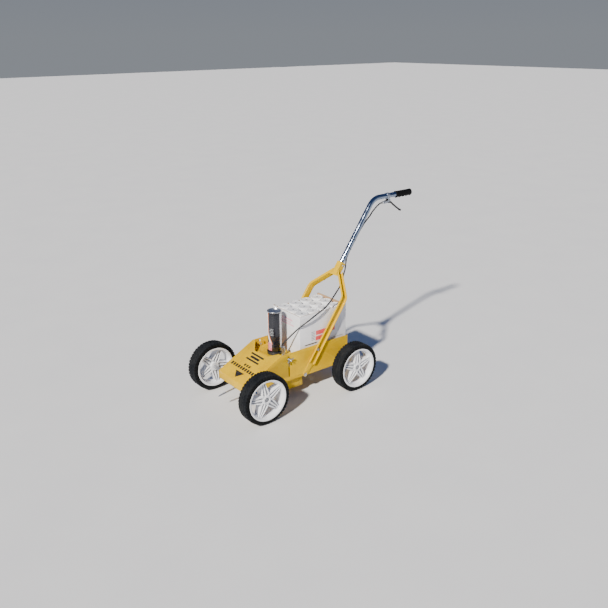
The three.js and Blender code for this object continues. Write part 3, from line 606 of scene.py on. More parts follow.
def sheet(obj, name, replaces, body="chassis", bevel=0.45, **how):
    """A piece of painted sheet."""
    return piece(obj, name, YELLOW, body, "yellow_enamel", replaces, bevel, **how)


def zinc(obj, name, replaces=(), body="chassis", **how):
    """A piece of bright zinc plate."""
    return piece(obj, name, ZINC, body, "bright_zinc", replaces, **how)


def arc(cy, cz, r, a0, a1, steps):
    """Points on an arc; angles in degrees."""
    turns = [math.radians(a0 + (a1 - a0) * i / steps) for i in range(steps + 1)]
    return [(cy + r * math.cos(t), cz + r * math.sin(t)) for t in turns]


def hexagon(bm, r, axis, centre, a0, a1):
    """A nut or bolt head with its corners chamfered on the outer face, at a1."""
    i = "XYZ".index(axis)
    d = 0.9 if a1 > a0 else -0.9
    rings = []
    for a, k in ((a0, 1.0), (a1 - d, 1.0), (a1 - d * 0.35, 0.95), (a1, 0.86)):
        ring = []
        for j in range(6):
            t = math.pi / 3 * (j + 0.5)
            p = [centre[0] + r * k * math.cos(t), centre[1] + r * k * math.sin(t)]
            p.insert(i, a)
            ring.append(p)
        rings.append(ring)
    add_faces(bm, rings)


SIDES = (("left", 1), ("right", -1))


def mirrored(bm, sign):
    if sign < 0:
        bmesh.ops.scale(bm, vec=(-1, 1, 1), verts=bm.verts)
        bmesh.ops.reverse_faces(bm, faces=bm.faces)


# ---------------------------------------------------------------- wheels
# A wheel is made at the origin with +X pointing away from the body.
def tyre_mesh(bm):
    profile = [
        (89.2, 27.2), (91.5, 28.0), (93.5, 28.6), (97.5, 29.0), (98.5, 29.8), (101.0, 29.9),
        (102.0, 29.2), (106.0, 29.4), (110.5, 29.2), (113.5, 28.2), (115.2, 26.2), (116.2, 22.0),
        (116.6, 12.0), (116.7, 0.0),
    ]
    profile = profile + [(r, -a) for r, a in reversed(profile[:-1])]
    turned(bm, profile, "X", (0, 0), 120, closed=True)
    carcass = len(bm.faces)
    lugs = 46
    # each row of lugs: its two sides across the tread, its lean and its step round the wheel
    rows = (
        (-28.6, -17.2, 2.0, 0.0), (-15.4, -1.2, -3.4, 0.5), (1.2, 15.4, 3.4, 0.0), (17.2, 28.6, -2.0, 0.5),
    )
    for k in range(lugs):
        for row, (a0, a1, lean, offset) in enumerate(rows):
            start = 2 * math.pi * (k + offset) / lugs
            wide = 11.4 if row in (0, 3) else 10.6
            rings = []
            for r, inset in ((114.6, 0.0), (118.2, 0.15), (118.95, 0.75)):
                ring = []
                for u, v in ((-1, -1), (1, -1), (1, 1), (-1, 1)):
                    a = (a0 + a1) / 2 + v * ((a1 - a0) / 2 - inset)
                    t = start + (u * (wide / 2 - inset) + lean * v) / 118.5
                    drop = 1.1 * max(0, abs(a) - 21) / 7.6
                    ring.append((a, (r - drop) * math.cos(t), (r - drop) * math.sin(t)))
                rings.append(ring)
            add_faces(bm, rings)
    # small ribs on the side of the shoulder, one to each lug
    for side in (1, -1):
        for k in range(lugs):
            t0 = 2 * math.pi * (k + (0.5 if side > 0 else 0.0)) / lugs
            rings = []
            for r, h in ((106.5, 0.1), (108.5, 0.75), (114.4, 0.55)):
                rings.append(
                    [
                        (side * (28.7 + up), r * math.cos(t0 + u / 112), r * math.sin(t0 + u / 112))
                        for u, up in ((-2.4, 0), (-1.8, h), (1.8, h), (2.4, 0))
                    ]
                )
            add_faces(bm, rings)
    bm.faces.ensure_lookup_table()
    for i, face in enumerate(bm.faces):
        c = face.calc_center_median()
        on_tread = i >= carcass or math.hypot(c.y, c.z) > 114.5
        face.material_index = 1 if on_tread else 0


def spoke_half(r):
    """Half a spoke's width at a radius; near the hub it is where the next spoke begins."""
    return min(22.0 - 13.2 * (r - SPOKE_FROM) / (SPOKE_TO - SPOKE_FROM), 0.7265 * r + 0.2)


def rim_mesh(bm):
    lip = 33.3
    profile = [
        (88.6, lip - 4.6), (91.2, lip - 2.9), (95.6, lip - 2.5), (96.9, lip - 1.6), (97.0, lip - 0.5),
        (96.0, lip), (93.5, lip - 0.1), (91.0, lip - 0.9), (88.0, lip - 2.6), (86.0, lip - 6.0),
        (84.8, lip - 16.0), (84.6, 0.0), (85.2, -lip + 6.0), (88.0, -lip + 1.2), (93.0, -lip),
        (96.4, -lip + 0.2), (97.0, -lip + 1.4), (95.6, -lip + 2.5), (91.2, -lip + 2.9), (88.6, -lip + 4.6),
        (87.6, 0.0),
    ]
    turned(bm, profile, "X", (0, 0), 96, closed=True)
    # the hub: a stepped boss with a recess for the axle's cap
    turned(
        bm,
        [
            (6.6, -24.6), (19.6, -24.6), (20.8, -23.4), (21.2, 8.0), (22.6, 20.0), (21.6, 23.6),
            (19.0, 25.6), (15.4, 26.0), (13.0, 25.5), (12.1, 24.2), (12.0, 19.2), (6.6, 19.2),
        ],
        "X", (0, 0), 64, closed=True,
    )
    # five spokes, widest at the hub, with three ridges on each face that close up towards the lip
    ridges = ((0.0, 0.24), (0.82, 0.25))
    for t in round_turns(5):
        turn = Matrix.Rotation(t, 3, "X")
        rings = []
        for i in range(17):
            f = i / 16
            r = SPOKE_FROM + (SPOKE_TO - SPOKE_FROM) * f
            half = spoke_half(r)
            crown = 24.0 - 5.0 * f + 1.2 * math.sin(math.pi * f)
            back = -16.0 - 1.0 * math.sin(math.pi * f)
            top, under = [], []
            steps = 30
            for j in range(steps + 1):
                u = -1 + 2 * j / steps
                hump = max(math.exp(-(((abs(u) - at) / wide) ** 4)) for at, wide in ridges)
                drop = 0.0 if abs(u) < 0.999 else 1.6
                top.append((crown - 6.4 + hump * 6.4 - drop, u * half, r))
                under.append((back + 6.4 - hump * 6.4 + drop, u * half, r))
            ring = [*top, *reversed(under)]
            rings.append([turn @ Vector(p) for p in ring])
        add_faces(bm, rings)
    # a thin stiffening ring inside the barrel, between the spokes
    turned(bm, [(80.0, 8.5), (85.4, 8.0), (85.4, 11.0), (80.0, 10.6)], "X", (0, 0), 96, closed=True)


def in_groove(c):
    """True in the hollows between a spoke's ridges; c is a face's middle in the rim's frame."""
    radial = math.hypot(c.y, c.z)
    if not 24 < radial < 79:
        return False
    fifth = math.radians(72)
    local = (math.atan2(-c.y, c.z) + fifth / 2) % fifth - fifth / 2
    across = abs(radial * math.sin(local)) / spoke_half(radial * math.cos(local))
    return abs(across - 0.41) < 0.17


def wheel_pieces():
    bm = bmesh.new()
    tyre_mesh(bm)
    bmesh.ops.recalc_face_normals(bm, faces=bm.faces)
    tyre = data_of("tyre", bm)
    rim_bm = bmesh.new()
    rim_mesh(rim_bm)
    bmesh.ops.recalc_face_normals(rim_bm, faces=rim_bm.faces)
    # faces in the grooves take the darker grey: partly painted shade, partly dirt
    for face in rim_bm.faces:
        face.material_index = 1 if in_groove(face.calc_center_median()) else 0
    rim = data_of("rim", rim_bm)
    for end, y in (("front", 0), ("rear", WHEELBASE)):
        for side, sign in SIDES:
            spin = {("front", 1): 10, ("front", -1): 26, ("rear", 1): -2, ("rear", -1): 50}[(end, sign)]
            place = Matrix.Translation((sign * TRACK_HALF, y, AXLE_Z))
            if sign < 0:
                place = place @ Matrix.Rotation(math.pi, 4, "Z")
            spun = place @ Matrix.Rotation(math.radians(spin), 4, "X")
            body = f"wheel_{end}_{side}"
            piece(copy_of(tyre), f"tread_and_sidewall_{end}_{side}", (SIDEWALL, TREAD_DUST_AND_HIGHLIGHT), body, "tyre_rubber",
                  f"tyre_{end}_{side}", angle=32, matrix=spun)
            piece(copy_of(rim), f"spoked_rim_{end}_{side}", (RIM, GROOVE_SHADE_AND_DIRT), body, "white_plastic",
                  f"rim_{end}_{side}", angle=38, matrix=spun)
            cap = shape(turned, [(0, 20.6), (9.4, 20.6), (9.4, 22.6), (8.4, 23.6), (5.0, 24.3), (0, 24.5)],
                        "X", (0, 0), 40)
            piece(cap, f"push_cap_{end}_{side}", GREY, "chassis", "black_plastic",
                  f"axle_cap_{end}_{side}", matrix=place)
            inner = BODY_HALF + GAP - TRACK_HALF
            spacer = shape(
                turned,
                [(6.4, inner), (9.0, inner), (9.5, inner + 0.5), (9.5, -25.9), (9.0, -25.4), (6.4, -25.4)],
                "X", (0, 0), 40, closed=True,
            )
            zinc(spacer, f"spacer_tube_{end}_{side}", f"axle_spacer_{end}_{side}", matrix=place)
        axle = shape(rod, 6, "X", (y, AXLE_Z), -240, 240, 32, 0.8)
        zinc(axle, f"{end}_axle_rod", f"{end}_axle")


wheel_pieces()


# ---------------------------------------------------------------- body
def nose_z(y):
    return NOSE_FOLD_Z + (y - NOSE_FRONT_Y) * NOSE_SLOPE


def body_pieces():
    under = 2.3 * math.hypot(1, NOSE_SLOPE)
    front = NOSE_FRONT_Y + 2.3
    outline = [
        (front, BODY_BOTTOM), (BODY_REAR, BODY_BOTTOM), (BODY_REAR, BODY_TOP),
        (NOSE_TOP_Y + 0.5, BODY_TOP), (NOSE_TOP_Y + 0.5, nose_z(NOSE_TOP_Y) - under),
        (front, nose_z(front) - under),
    ]
    for side, sign in SIDES:
        x0, x1 = sorted((sign * 118, sign * 120))
        panel = shape(prism, outline, "X", x0, x1)
        cutter = bmesh.new()
        slot = [*arc(WING_Y, 228.5, 3.5, 0, 180, 12), *arc(WING_Y, 121, 3.5, 180, 360, 12)]
        prism(cutter, slot, "X", x0 - 1, x1 + 1)
        for s, n in (FOOT_BOLT, MID_BOLT):
            p = slope_point(0, s, n)
            hole(cutter, "X", (p.y, p.z), 4.3, x0 - 1, x1 + 1)
        for y in (0, WHEELBASE):
            prism(cutter, arc(y, AXLE_Z, 6.3, 0, 350, 35), "X", x0 - 1, x1 + 1)
        carve(panel, raw("tool", cutter))
        sheet(panel, f"side_sheet_{side}", f"side_panel_{side}")

    # the nose: one folded sheet with a rounded bend, then the notch
    slope = math.degrees(math.atan(NOSE_SLOPE))
    r_out = 3.0
    # the outer bend touches the front face and the slope
    tangent = r_out * math.tan(math.radians((90 - slope) / 2))
    cy, cz = NOSE_FRONT_Y + r_out, NOSE_FOLD_Z - tangent
    across = 2 * math.hypot(1, NOSE_SLOPE)
    outer = [(NOSE_FRONT_Y, NOSE_LIP_Z), *arc(cy, cz, r_out, 180, 90 + slope, 8), (NOSE_TOP_Y, BODY_TOP)]
    inner = [(NOSE_TOP_Y, BODY_TOP - across), *arc(cy, cz, r_out - 2, 90 + slope, 180, 8),
             (NOSE_FRONT_Y + 2, NOSE_LIP_Z)]
    nose = shape(prism, outer + inner, "X", -BODY_HALF, BODY_HALF)
    notch = [(-96, 180), (-96, 172.5), (-49, 136), (-45.5, 134)]
    notch += [(-x, y) for x, y in reversed(notch)]
    carve(nose, shape(prism, notch, "Z", 90, 260))
    sheet(nose, "nose_sheet", "nose_panel")

    floor = shape(block, -TRAY_HALF, TRAY_HALF, BULKHEAD_Y + 2.3, BODY_REAR, TRAY_TOP - 2, TRAY_TOP)
    sheet(floor, "tray_sheet", "tray_floor")
    bulk = shape(block, -TRAY_HALF, TRAY_HALF, BULKHEAD_Y, BULKHEAD_Y + 2, TRAY_TOP - 2, 196)
    sheet(bulk, "tray_front_sheet", "tray_bulkhead")

    # the shroud: walls bent round four upright corners, and a flange to each side
    def corner(cx, cy, r, a0, a1):
        return arc(cx, cy, r, a0, a1, 6)

    def ring(inset, r):
        h, f, b = SHROUD_HALF - inset, SHROUD_FRONT + inset, SHROUD_REAR - inset
        return [
            *corner(h - r, b - r, r, 0, 90), *corner(-h + r, b - r, r, 90, 180),
            *corner(-h + r, f + r, r, 180, 270), *corner(h - r, f + r, r, 270, 360),
        ]

    shroud = shape(prism, ring(0, 5), "Z", SHROUD_LOW, BODY_BOTTOM)
    carve(shroud, shape(prism, ring(2, 3), "Z", SHROUD_LOW - 1, BODY_BOTTOM + 1))
    tab = shape(block, -SHROUD_HALF + 5, SHROUD_HALF - 5, SHROUD_FRONT, SHROUD_FRONT + 2, 80, 125)
    carve(shroud, tab, "UNION")
    for sign in (1, -1):
        x0, x1 = sorted((sign * 101.5, sign * TRAY_HALF))
        carve(shroud, shape(block, x0, x1, SHROUD_FRONT + 10, SHROUD_REAR - 25, 97, BODY_BOTTOM), "UNION")
    sheet(shroud, "shroud_sheet", "spray_shroud", bevel=0.4)


body_pieces()


# ---------------------------------------------------------------- graphics on the nose
# Generic shapes only: a forward arrow, a row of blocks, three small blocks and three bars.
def nose_graphics():
    lift = 0.12

    def on_nose(points):
        bm = bmesh.new()
        up = Vector((0, -NOSE_SLOPE, 1)).normalized()
        low = [Vector((x, y, nose_z(y))) + up * 0.02 for x, y in points]
        top = [p + up * lift for p in low]
        add_faces(bm, [low, top])
        return raw("decal", bm)

    def merge(objs, name, material):
        base = objs[0]
        bm = bmesh.new()
        for o in objs:
            bm.from_mesh(o.data)
        for o in objs[1:]:
            bpy.data.objects.remove(o)
        bm.to_mesh(base.data)
        bm.free()
        piece(base, name, material, "chassis", "black_plastic")

    merge([on_nose([(-33, 19), (0, -11), (33, 20)])], "nose_arrow", INK)
    bars = []
    for k in range(10):
        x = -100 + 18.5 * k
        bars.append(on_nose([(x, 31), (x + 13, 31), (x + 13, 46), (x, 46)]))
    merge(bars, "nose_block_row", INK)
    small = []
    for x0, x1 in ((-21, -9), (-3, 9), (15, 27)):
        small.append(on_nose([(x0, 52), (x1, 52), (x1, 64), (x0, 64)]))
    merge(small, "nose_small_blocks", INK)
    badge = []
    for x1, y0, y1 in ((50, 84, 92), (34, 98, 109), (50, 115, 123)):
        badge.append(on_nose([(-x1, y0), (x1, y0), (x1, y1), (-x1, y1)]))
    merge(badge, "nose_badge", INK)


nose_graphics()


# ---------------------------------------------------------------- pointer
def pointer_pieces():
    tip_y, tip_z, slope = -104, 71.2, 0.1633

    def at(y):
        return (0, y, tip_z + (y - tip_y) * slope)

    ys = (-104, -103.4, -102, -96, -60, 0, 60, 120, 139, 139.6, 140)
    rs = (1.2, 2.2, 2.9, 4, 4, 4, 4, 4, 4, 3.7, 3.2)
    zinc(shape(sweep, [at(y) for y in ys], rs, 24), "pointer_bar", "pointer_rod", body="pointer")
    clamp = shape(block, -12, 12, 118, 149.7, 98, 122)
    carve(clamp, shape(sweep, [at(90), at(170)], 4.3, 32))
    zinc(clamp, "pointer_clamp", "pointer_bracket", bevel=1.2, segments=3)
    zinc(shape(hexagon, 5, "Z", (0, 134), 122.1, 126), "pointer_set_screw")


pointer_pieces()


# ---------------------------------------------------------------- yoke and socket
def arm_section(depth):
    """The channel's outline in (outwards, normal), with rounded bends."""
    h, t = CHANNEL_HALF, CHANNEL_T
    ro, ri = 4.0, 1.6
    return [
        (depth, -h), *arc(ro, -h + ro, ro, 270, 180, 6), *arc(ro, h - ro, ro, 180, 90, 6), (depth, h),
        (depth, h - t),
        *arc(t + ri, h - t - ri, ri, 90, 180, 4), *arc(t + ri, -h + t + ri, ri, 180, 270, 4),
        (depth, -h + t),
    ]


def arm_rings():
    base = BODY_HALF + GAP
    centre, bend_at, bend_r = base - 30, 657.3, 30
    rings = []

    def straight(s, depth):
        rings.append([(base + d, s, n) for d, n in arm_section(depth)])

    for i in range(7):
        a = math.pi / 2 * i / 6
        straight(320 + 16 * (1 - math.cos(a)), 6.2 + (CHANNEL_DEPTH - 6.2) * math.sin(a))
    for s in (350, 450, 550, 640):
        straight(s, CHANNEL_DEPTH)
    section = arm_section(CHANNEL_DEPTH)
    for i in range(9):
        a = math.pi / 4 * i / 8
        c, k = math.cos(a), math.sin(a)
        rings.append([(centre + (bend_r + d) * c, bend_at + (bend_r + d) * k, n) for d, n in section])
    for stop in (60, 17.6):
        rings.append([(stop, centre + bend_at + (bend_r + d) * math.sqrt(2) - stop, n) for d, n in section])
    return rings


def yoke_pieces():
    base = BODY_HALF + GAP
    for side, sign in SIDES:
        bm = bmesh.new()
        add_faces(bm, arm_rings())
        mirrored(bm, sign)
        arm = raw("arm", bm)
        tongue = bmesh.new()
        outline = [
            (318, 15.6), *arc(258, 6, 8, 90, 180, 5), *arc(258, -3, 8, 180, 270, 5),
            (318, -17.0), (334, -15), (334, 14.5),
        ]
        prism(tongue, outline, "X", base + 0.02, base + CHANNEL_T)
        mirrored(tongue, sign)
        carve(arm, raw("tool", tongue), "UNION")
        holes = bmesh.new()
        for s, n in (FOOT_BOLT, MID_BOLT):
            hole(holes, "X", (s, n), 4.3, base - 2, base + 6)
        mirrored(holes, sign)
        carve(arm, raw("tool", holes))
        sheet(arm, f"channel_arm_{side}", f"yoke_arm_{side}", bevel=0.4, angle=40, matrix=YOKE)
        for name, (s, n) in (("arm_foot_bolt", FOOT_BOLT), ("arm_mid_bolt", MID_BOLT)):
            p = slope_point(0, s, n)
            bm = bmesh.new()
            face = base + CHANNEL_T + GAP
            turned(bm, [(4.2, face), (9.0, face), (9.2, face + 0.4), (9.0, face + 1.2), (4.2, face + 1.3)],
                   "X", (p.y, p.z), 40, closed=True)
            hexagon(bm, 7.3, "X", (p.y, p.z), face + 1.3, 128.6)
            rod(bm, 3.9, "X", (p.y, p.z), 111.2, 125, 24)
            hexagon(bm, 7.3, "X", (p.y, p.z), 117.6, 111.6)
            mirrored(bm, sign)
            zinc(raw("bolt", bm), f"{name}_{side}_head", f"{name}_{side}")

    h = SOCKET_HALF
    socket = shape(block, -h, h, SOCKET_FROM, SOCKET_TO, TUBE_N - h, TUBE_N + h)
    bevelled = socket.modifiers.new("round", "BEVEL")
    bevelled.width = 1.8
    bevelled.segments = 4
    bevelled.limit_method = "ANGLE"
    evaluated(socket)
    gusset_outline = [(-33, 755), (33, 755), (h, 772.5), (-h, 772.5)]
    gusset = shape(prism, gusset_outline, "Z", CHANNEL_HALF - 3, CHANNEL_HALF)
    carve(socket, gusset, "UNION")
    bore = bmesh.new()
    turned(bore, [(0, 765.5), (13, 765.5), (13, 840), (0, 840)], "Y", (0, TUBE_N), 48)
    hole(bore, "X", (SOCKET_BOLT_AT, TUBE_N), 3.3, -30, 30)
    carve(socket, raw("tool", bore))
    sheet(socket, "handle_sleeve", "handle_socket", bevel=0.5, angle=40, matrix=YOKE)
    at = ("X", (SOCKET_BOLT_AT, TUBE_N))
    bolt = together(
        (rod, 2.9, *at, -22, 17, 24), (hexagon, 5.8, *at, h + 0.3, h + 5),
        (hexagon, 5.8, *at, -h - 0.3, -h - 5.4),
    )
    zinc(bolt, "socket_through_bolt", "socket_bolt", matrix=YOKE)


yoke_pieces()


# ---------------------------------------------------------------- handle
def handle_points():
    start = slope_point(0, 768, TUBE_N)
    corner_y = start.y + (BAR_Z - start.z) / math.tan(TILT)
    centre = Vector((0, corner_y + TUBE_BEND_R * math.tan(TILT / 2), BAR_Z - TUBE_BEND_R))
    points = [start]
    for i in range(25):
        a = math.pi / 2 + TILT * (1 - i / 24)
        points.append(centre + Vector((0, math.cos(a), math.sin(a))) * TUBE_BEND_R)
    return [*points, Vector((0, BAR_END_Y, BAR_Z))]


def handle_pieces():
    tube = shape(sweep, handle_points(), TUBE_R, 48)
    piece(tube, "bent_tube", CHROME, "chassis", "chrome_plate", "handle_tube")

    # the grip: rings round the bar, with four finger dips below and a rounded end flange
    bm = bmesh.new()
    rings = []
    steps = 132
    for i in range(steps + 1):
        y = GRIP_FROM + (GRIP_TO - GRIP_FROM) * i / steps
        along = (y - GRIP_FROM - 5) / (GRIP_TO - GRIP_FROM - 10)
        inside = 0 <= along <= 1
        ring = []
        for t in round_turns(48):
            r = GRIP_R - 0.4
            below = max(0, -math.sin(t)) ** 1.6
            if inside:
                r += below * (1.9 + 1.7 * math.cos(8 * math.pi * along))
                r += 0.16 * math.sin(2 * math.pi * y / 3.2) * (1 - below)
            else:
                r += below * 1.2 + 0.9
            end = min(y - GRIP_FROM, GRIP_TO - y)
            if end < 2.2:
                r -= 2.2 - math.sqrt(max(0.0, 2.2**2 - (2.2 - end) ** 2))
            ring.append((r * math.cos(t), y, BAR_Z + r * math.sin(t)))
        rings.append(ring)
    add_faces(bm, rings)
    piece(raw("grip", bm), "finger_grip", GRIP, "chassis", "grip_rubber", "handle_grip", angle=60)

    # the clamp: a band, two lugs and a cable stop in one casting
    lug = [
        (924, 850), (936, 850), *arc(LEVER_Y, LEVER_Z, 5.6, 32, -70, 7),
        (912, 825), (STOP_FROM, 825), (STOP_FROM, 833), (914, 833), (930, 839),
    ]
    clamp = shape(turned,
                  [(13, CLAMP_FROM), (15.2, CLAMP_FROM), (15.6, CLAMP_FROM + 0.5),
                   (15.6, CLAMP_TO - 0.5), (15.2, CLAMP_TO), (13, CLAMP_TO)],
                  "Y", (0, BAR_Z), 48, closed=True)
    for sign in (1, -1):
        x0, x1 = sorted((sign * 8, sign * 10.2))
        carve(clamp, shape(prism, lug, "X", x0, x1), "UNION")
    carve(clamp, shape(block, -10.2, 10.2, STOP_FROM, STOP_TO, 824, 834), "UNION")
    tools = bmesh.new()
    turned(tools, [(0, 915), (13, 915), (13, 940), (0, 940)], "Y", (0, BAR_Z), 48)
    hole(tools, "X", (LEVER_Y, LEVER_Z), 3.3, -20, 20)
    turned(tools, [(0, 895), (3.3, 895), (3.3, 915), (0, 915)], "Y", (0, CABLE_STOP_Z), 24)
    carve(clamp, raw("tool", tools))
    piece(clamp, "lever_housing", CAST, "chassis", "cast_alloy", "lever_clamp", bevel=0.5, angle=40)

    at = ("X", (LEVER_Y, LEVER_Z))
    pin = together(
        (rod, 2.9, *at, -11.5, 11.5, 24), (rod, 5, *at, 10.5, 12.6, 32, 0.6),
        (rod, 5, *at, -12.6, -10.5, 32, 0.6),
    )
    zinc(pin, "lever_pivot_pin", "lever_pin")

    # the adjuster: a knurled barrel and a threaded stub
    bm = bmesh.new()
    knurl = []
    for y in (ADJUSTER_Y, ADJUSTER_Y + 0.6, ADJUSTER_Y + 3.4, ADJUSTER_Y + 5.5):
        ring = []
        for k, t in enumerate(round_turns(48)):
            r = 3.9 if y == ADJUSTER_Y else 4.9 if k % 2 else 4.35
            ring.append((r * math.cos(t), y, CABLE_STOP_Z + r * math.sin(t)))
        knurl.append(ring)
    add_faces(bm, knurl)
    rod(bm, 2.9, "Y", (0, CABLE_STOP_Z), ADJUSTER_Y + 4, STOP_TO, 24)
    zinc(raw("adjuster", bm), "barrel_adjuster", "cable_adjuster")

    # the lever: a pressed blade that curves down and back, thick at its rolled tip
    spine = [(0, 0), (13, -11.5), (26.5, -22.5), (40, -33.4), (54, -43.5), (67, -52.8), (80, -61)]
    rings = []
    for i, (y, z) in enumerate(spine):
        a, b = spine[max(i - 1, 0)], spine[min(i + 1, len(spine) - 1)]
        length = math.hypot(b[0] - a[0], b[1] - a[1])
        ny, nz = -(b[1] - a[1]) / length, (b[0] - a[0]) / length
        half = 6.9 - 0.8 * i / 6
        ring = []
        for t in round_turns(20):
            u = math.copysign(abs(math.cos(t)) ** 0.55, math.cos(t)) * half
            v = math.copysign(abs(math.sin(t)) ** 0.7, math.sin(t)) * 3.9
            ring.append((u, LEVER_Y + y + ny * v, LEVER_Z + z + nz * v))
        rings.append(ring)
    bm = bmesh.new()
    add_faces(bm, rings)
    blade = raw("blade", bm)
    tail = bmesh.new()
    top = [(LEVER_Y - 4.3, LEVER_Z), (LEVER_Y + 4.3, LEVER_Z)]
    prism(tail, [*top, *arc(LEVER_Y, LEVER_Z - 11, 4.3, 0, -180, 10)], "X", -6.8, 6.8)
    carve(blade, raw("tool", tail), "UNION")
    carve(blade, shape(rod, 5.5, "X", (LEVER_Y, LEVER_Z), -7, 7, 40, 0.5), "UNION")
    carve(blade, shape(rod, 5, "X", (LEVER_Y + 81, LEVER_Z - 61.5), -7, 7, 40, 1.4), "UNION")
    carve(blade, shape(rod, 3.25, "X", (LEVER_Y, LEVER_Z), -9, 9, 24, 0.1))
    piece(blade, "lever_blade", LEVER, "trigger", "black_enamel", "trigger_lever", bevel=0.35, angle=45)


handle_pieces()


# ---------------------------------------------------------------- cable
HUG_N = -TUBE_R - CABLE_R - GAP


def on_tube(x, s, n):
    return slope_point(x, s, TUBE_N + n)


CABLE_ROUTE = [
    (0, ADJUSTER_Y - 0.4, CABLE_STOP_Z), (0, 883, 828.4), (0, 865, 820), (0, 847, 807), (0, 829, 792.5),
    on_tube(0, 1102, -32), on_tube(0, 1078, -25.5), on_tube(-1, 1053, -20.5),
    on_tube(-2, 1010, HUG_N - 0.8),
    on_tube(-2, 960, HUG_N), on_tube(-2, 900, HUG_N), on_tube(-1, 862, HUG_N - 2),
    on_tube(6, 834, -24), on_tube(12, 808, -31), on_tube(22, 772, -31), on_tube(34, 752, -30),
    on_tube(46, 735, -17), on_tube(66, 709, 0), (89, 515, 452), (106, 470, 428.5),
    (118, 430, 412.5), (122, 392, 399.5), (121.5, 338, 376.5), (116.5, 308, 360.5), (108.5, 284.5, 345),
    (93, 267, 322), (76, 253, 298), (60, 235, 272), (50, 229, 257), (WIRE_X, WIRE_Y, 252),
    (WIRE_X, WIRE_Y, 247.8),
]


def cable_pieces():
    housing = shape(sweep, smooth_path(CABLE_ROUTE, 8), CABLE_R, 16)
    piece(housing, "cable_sheath", BLACK, "chassis", "black_plastic", "cable_housing", angle=60)
    for name, s in (("upper", 955), ("lower", 905)):

        def belt(r_tube, r_cable):
            spread = math.acos((r_tube - r_cable) / -HUG_N)
            down = -math.pi / 2
            points = []
            for i in range(9):
                a = down - spread + 2 * spread * i / 8
                points.append((-2 + r_cable * math.cos(a), HUG_N + r_cable * math.sin(a)))
            for i in range(33):
                a = down + spread + (2 * math.pi - 2 * spread) * i / 32
                points.append((r_tube * math.cos(a), r_tube * math.sin(a)))
            return [(x, n + TUBE_N) for x, n in points]

        bm = bmesh.new()
        outer, inner = belt(TUBE_R + 1.3, CABLE_R + 1.5), belt(TUBE_R + 0.25, CABLE_R + 0.4)
        rings = []
        for points, at in ((outer, s + 0.4), (outer, s + 3.6), (inner, s + 3.9), (inner, s + 0.1)):
            rings.append([(x, at, n) for x, n in points])
        add_faces(bm, rings, closed_path=True)
        # the tie's square head sits behind, beside the cable
        block(bm, -11.5, -6.5, s - 0.4, s + 4.4, TUBE_N - 15.5, TUBE_N - 11.6)
        piece(raw("tie", bm), f"cable_tie_band_{name}", BLACK, "chassis", "black_plastic",
              f"cable_tie_{name}", matrix=YOKE)


cable_pieces()


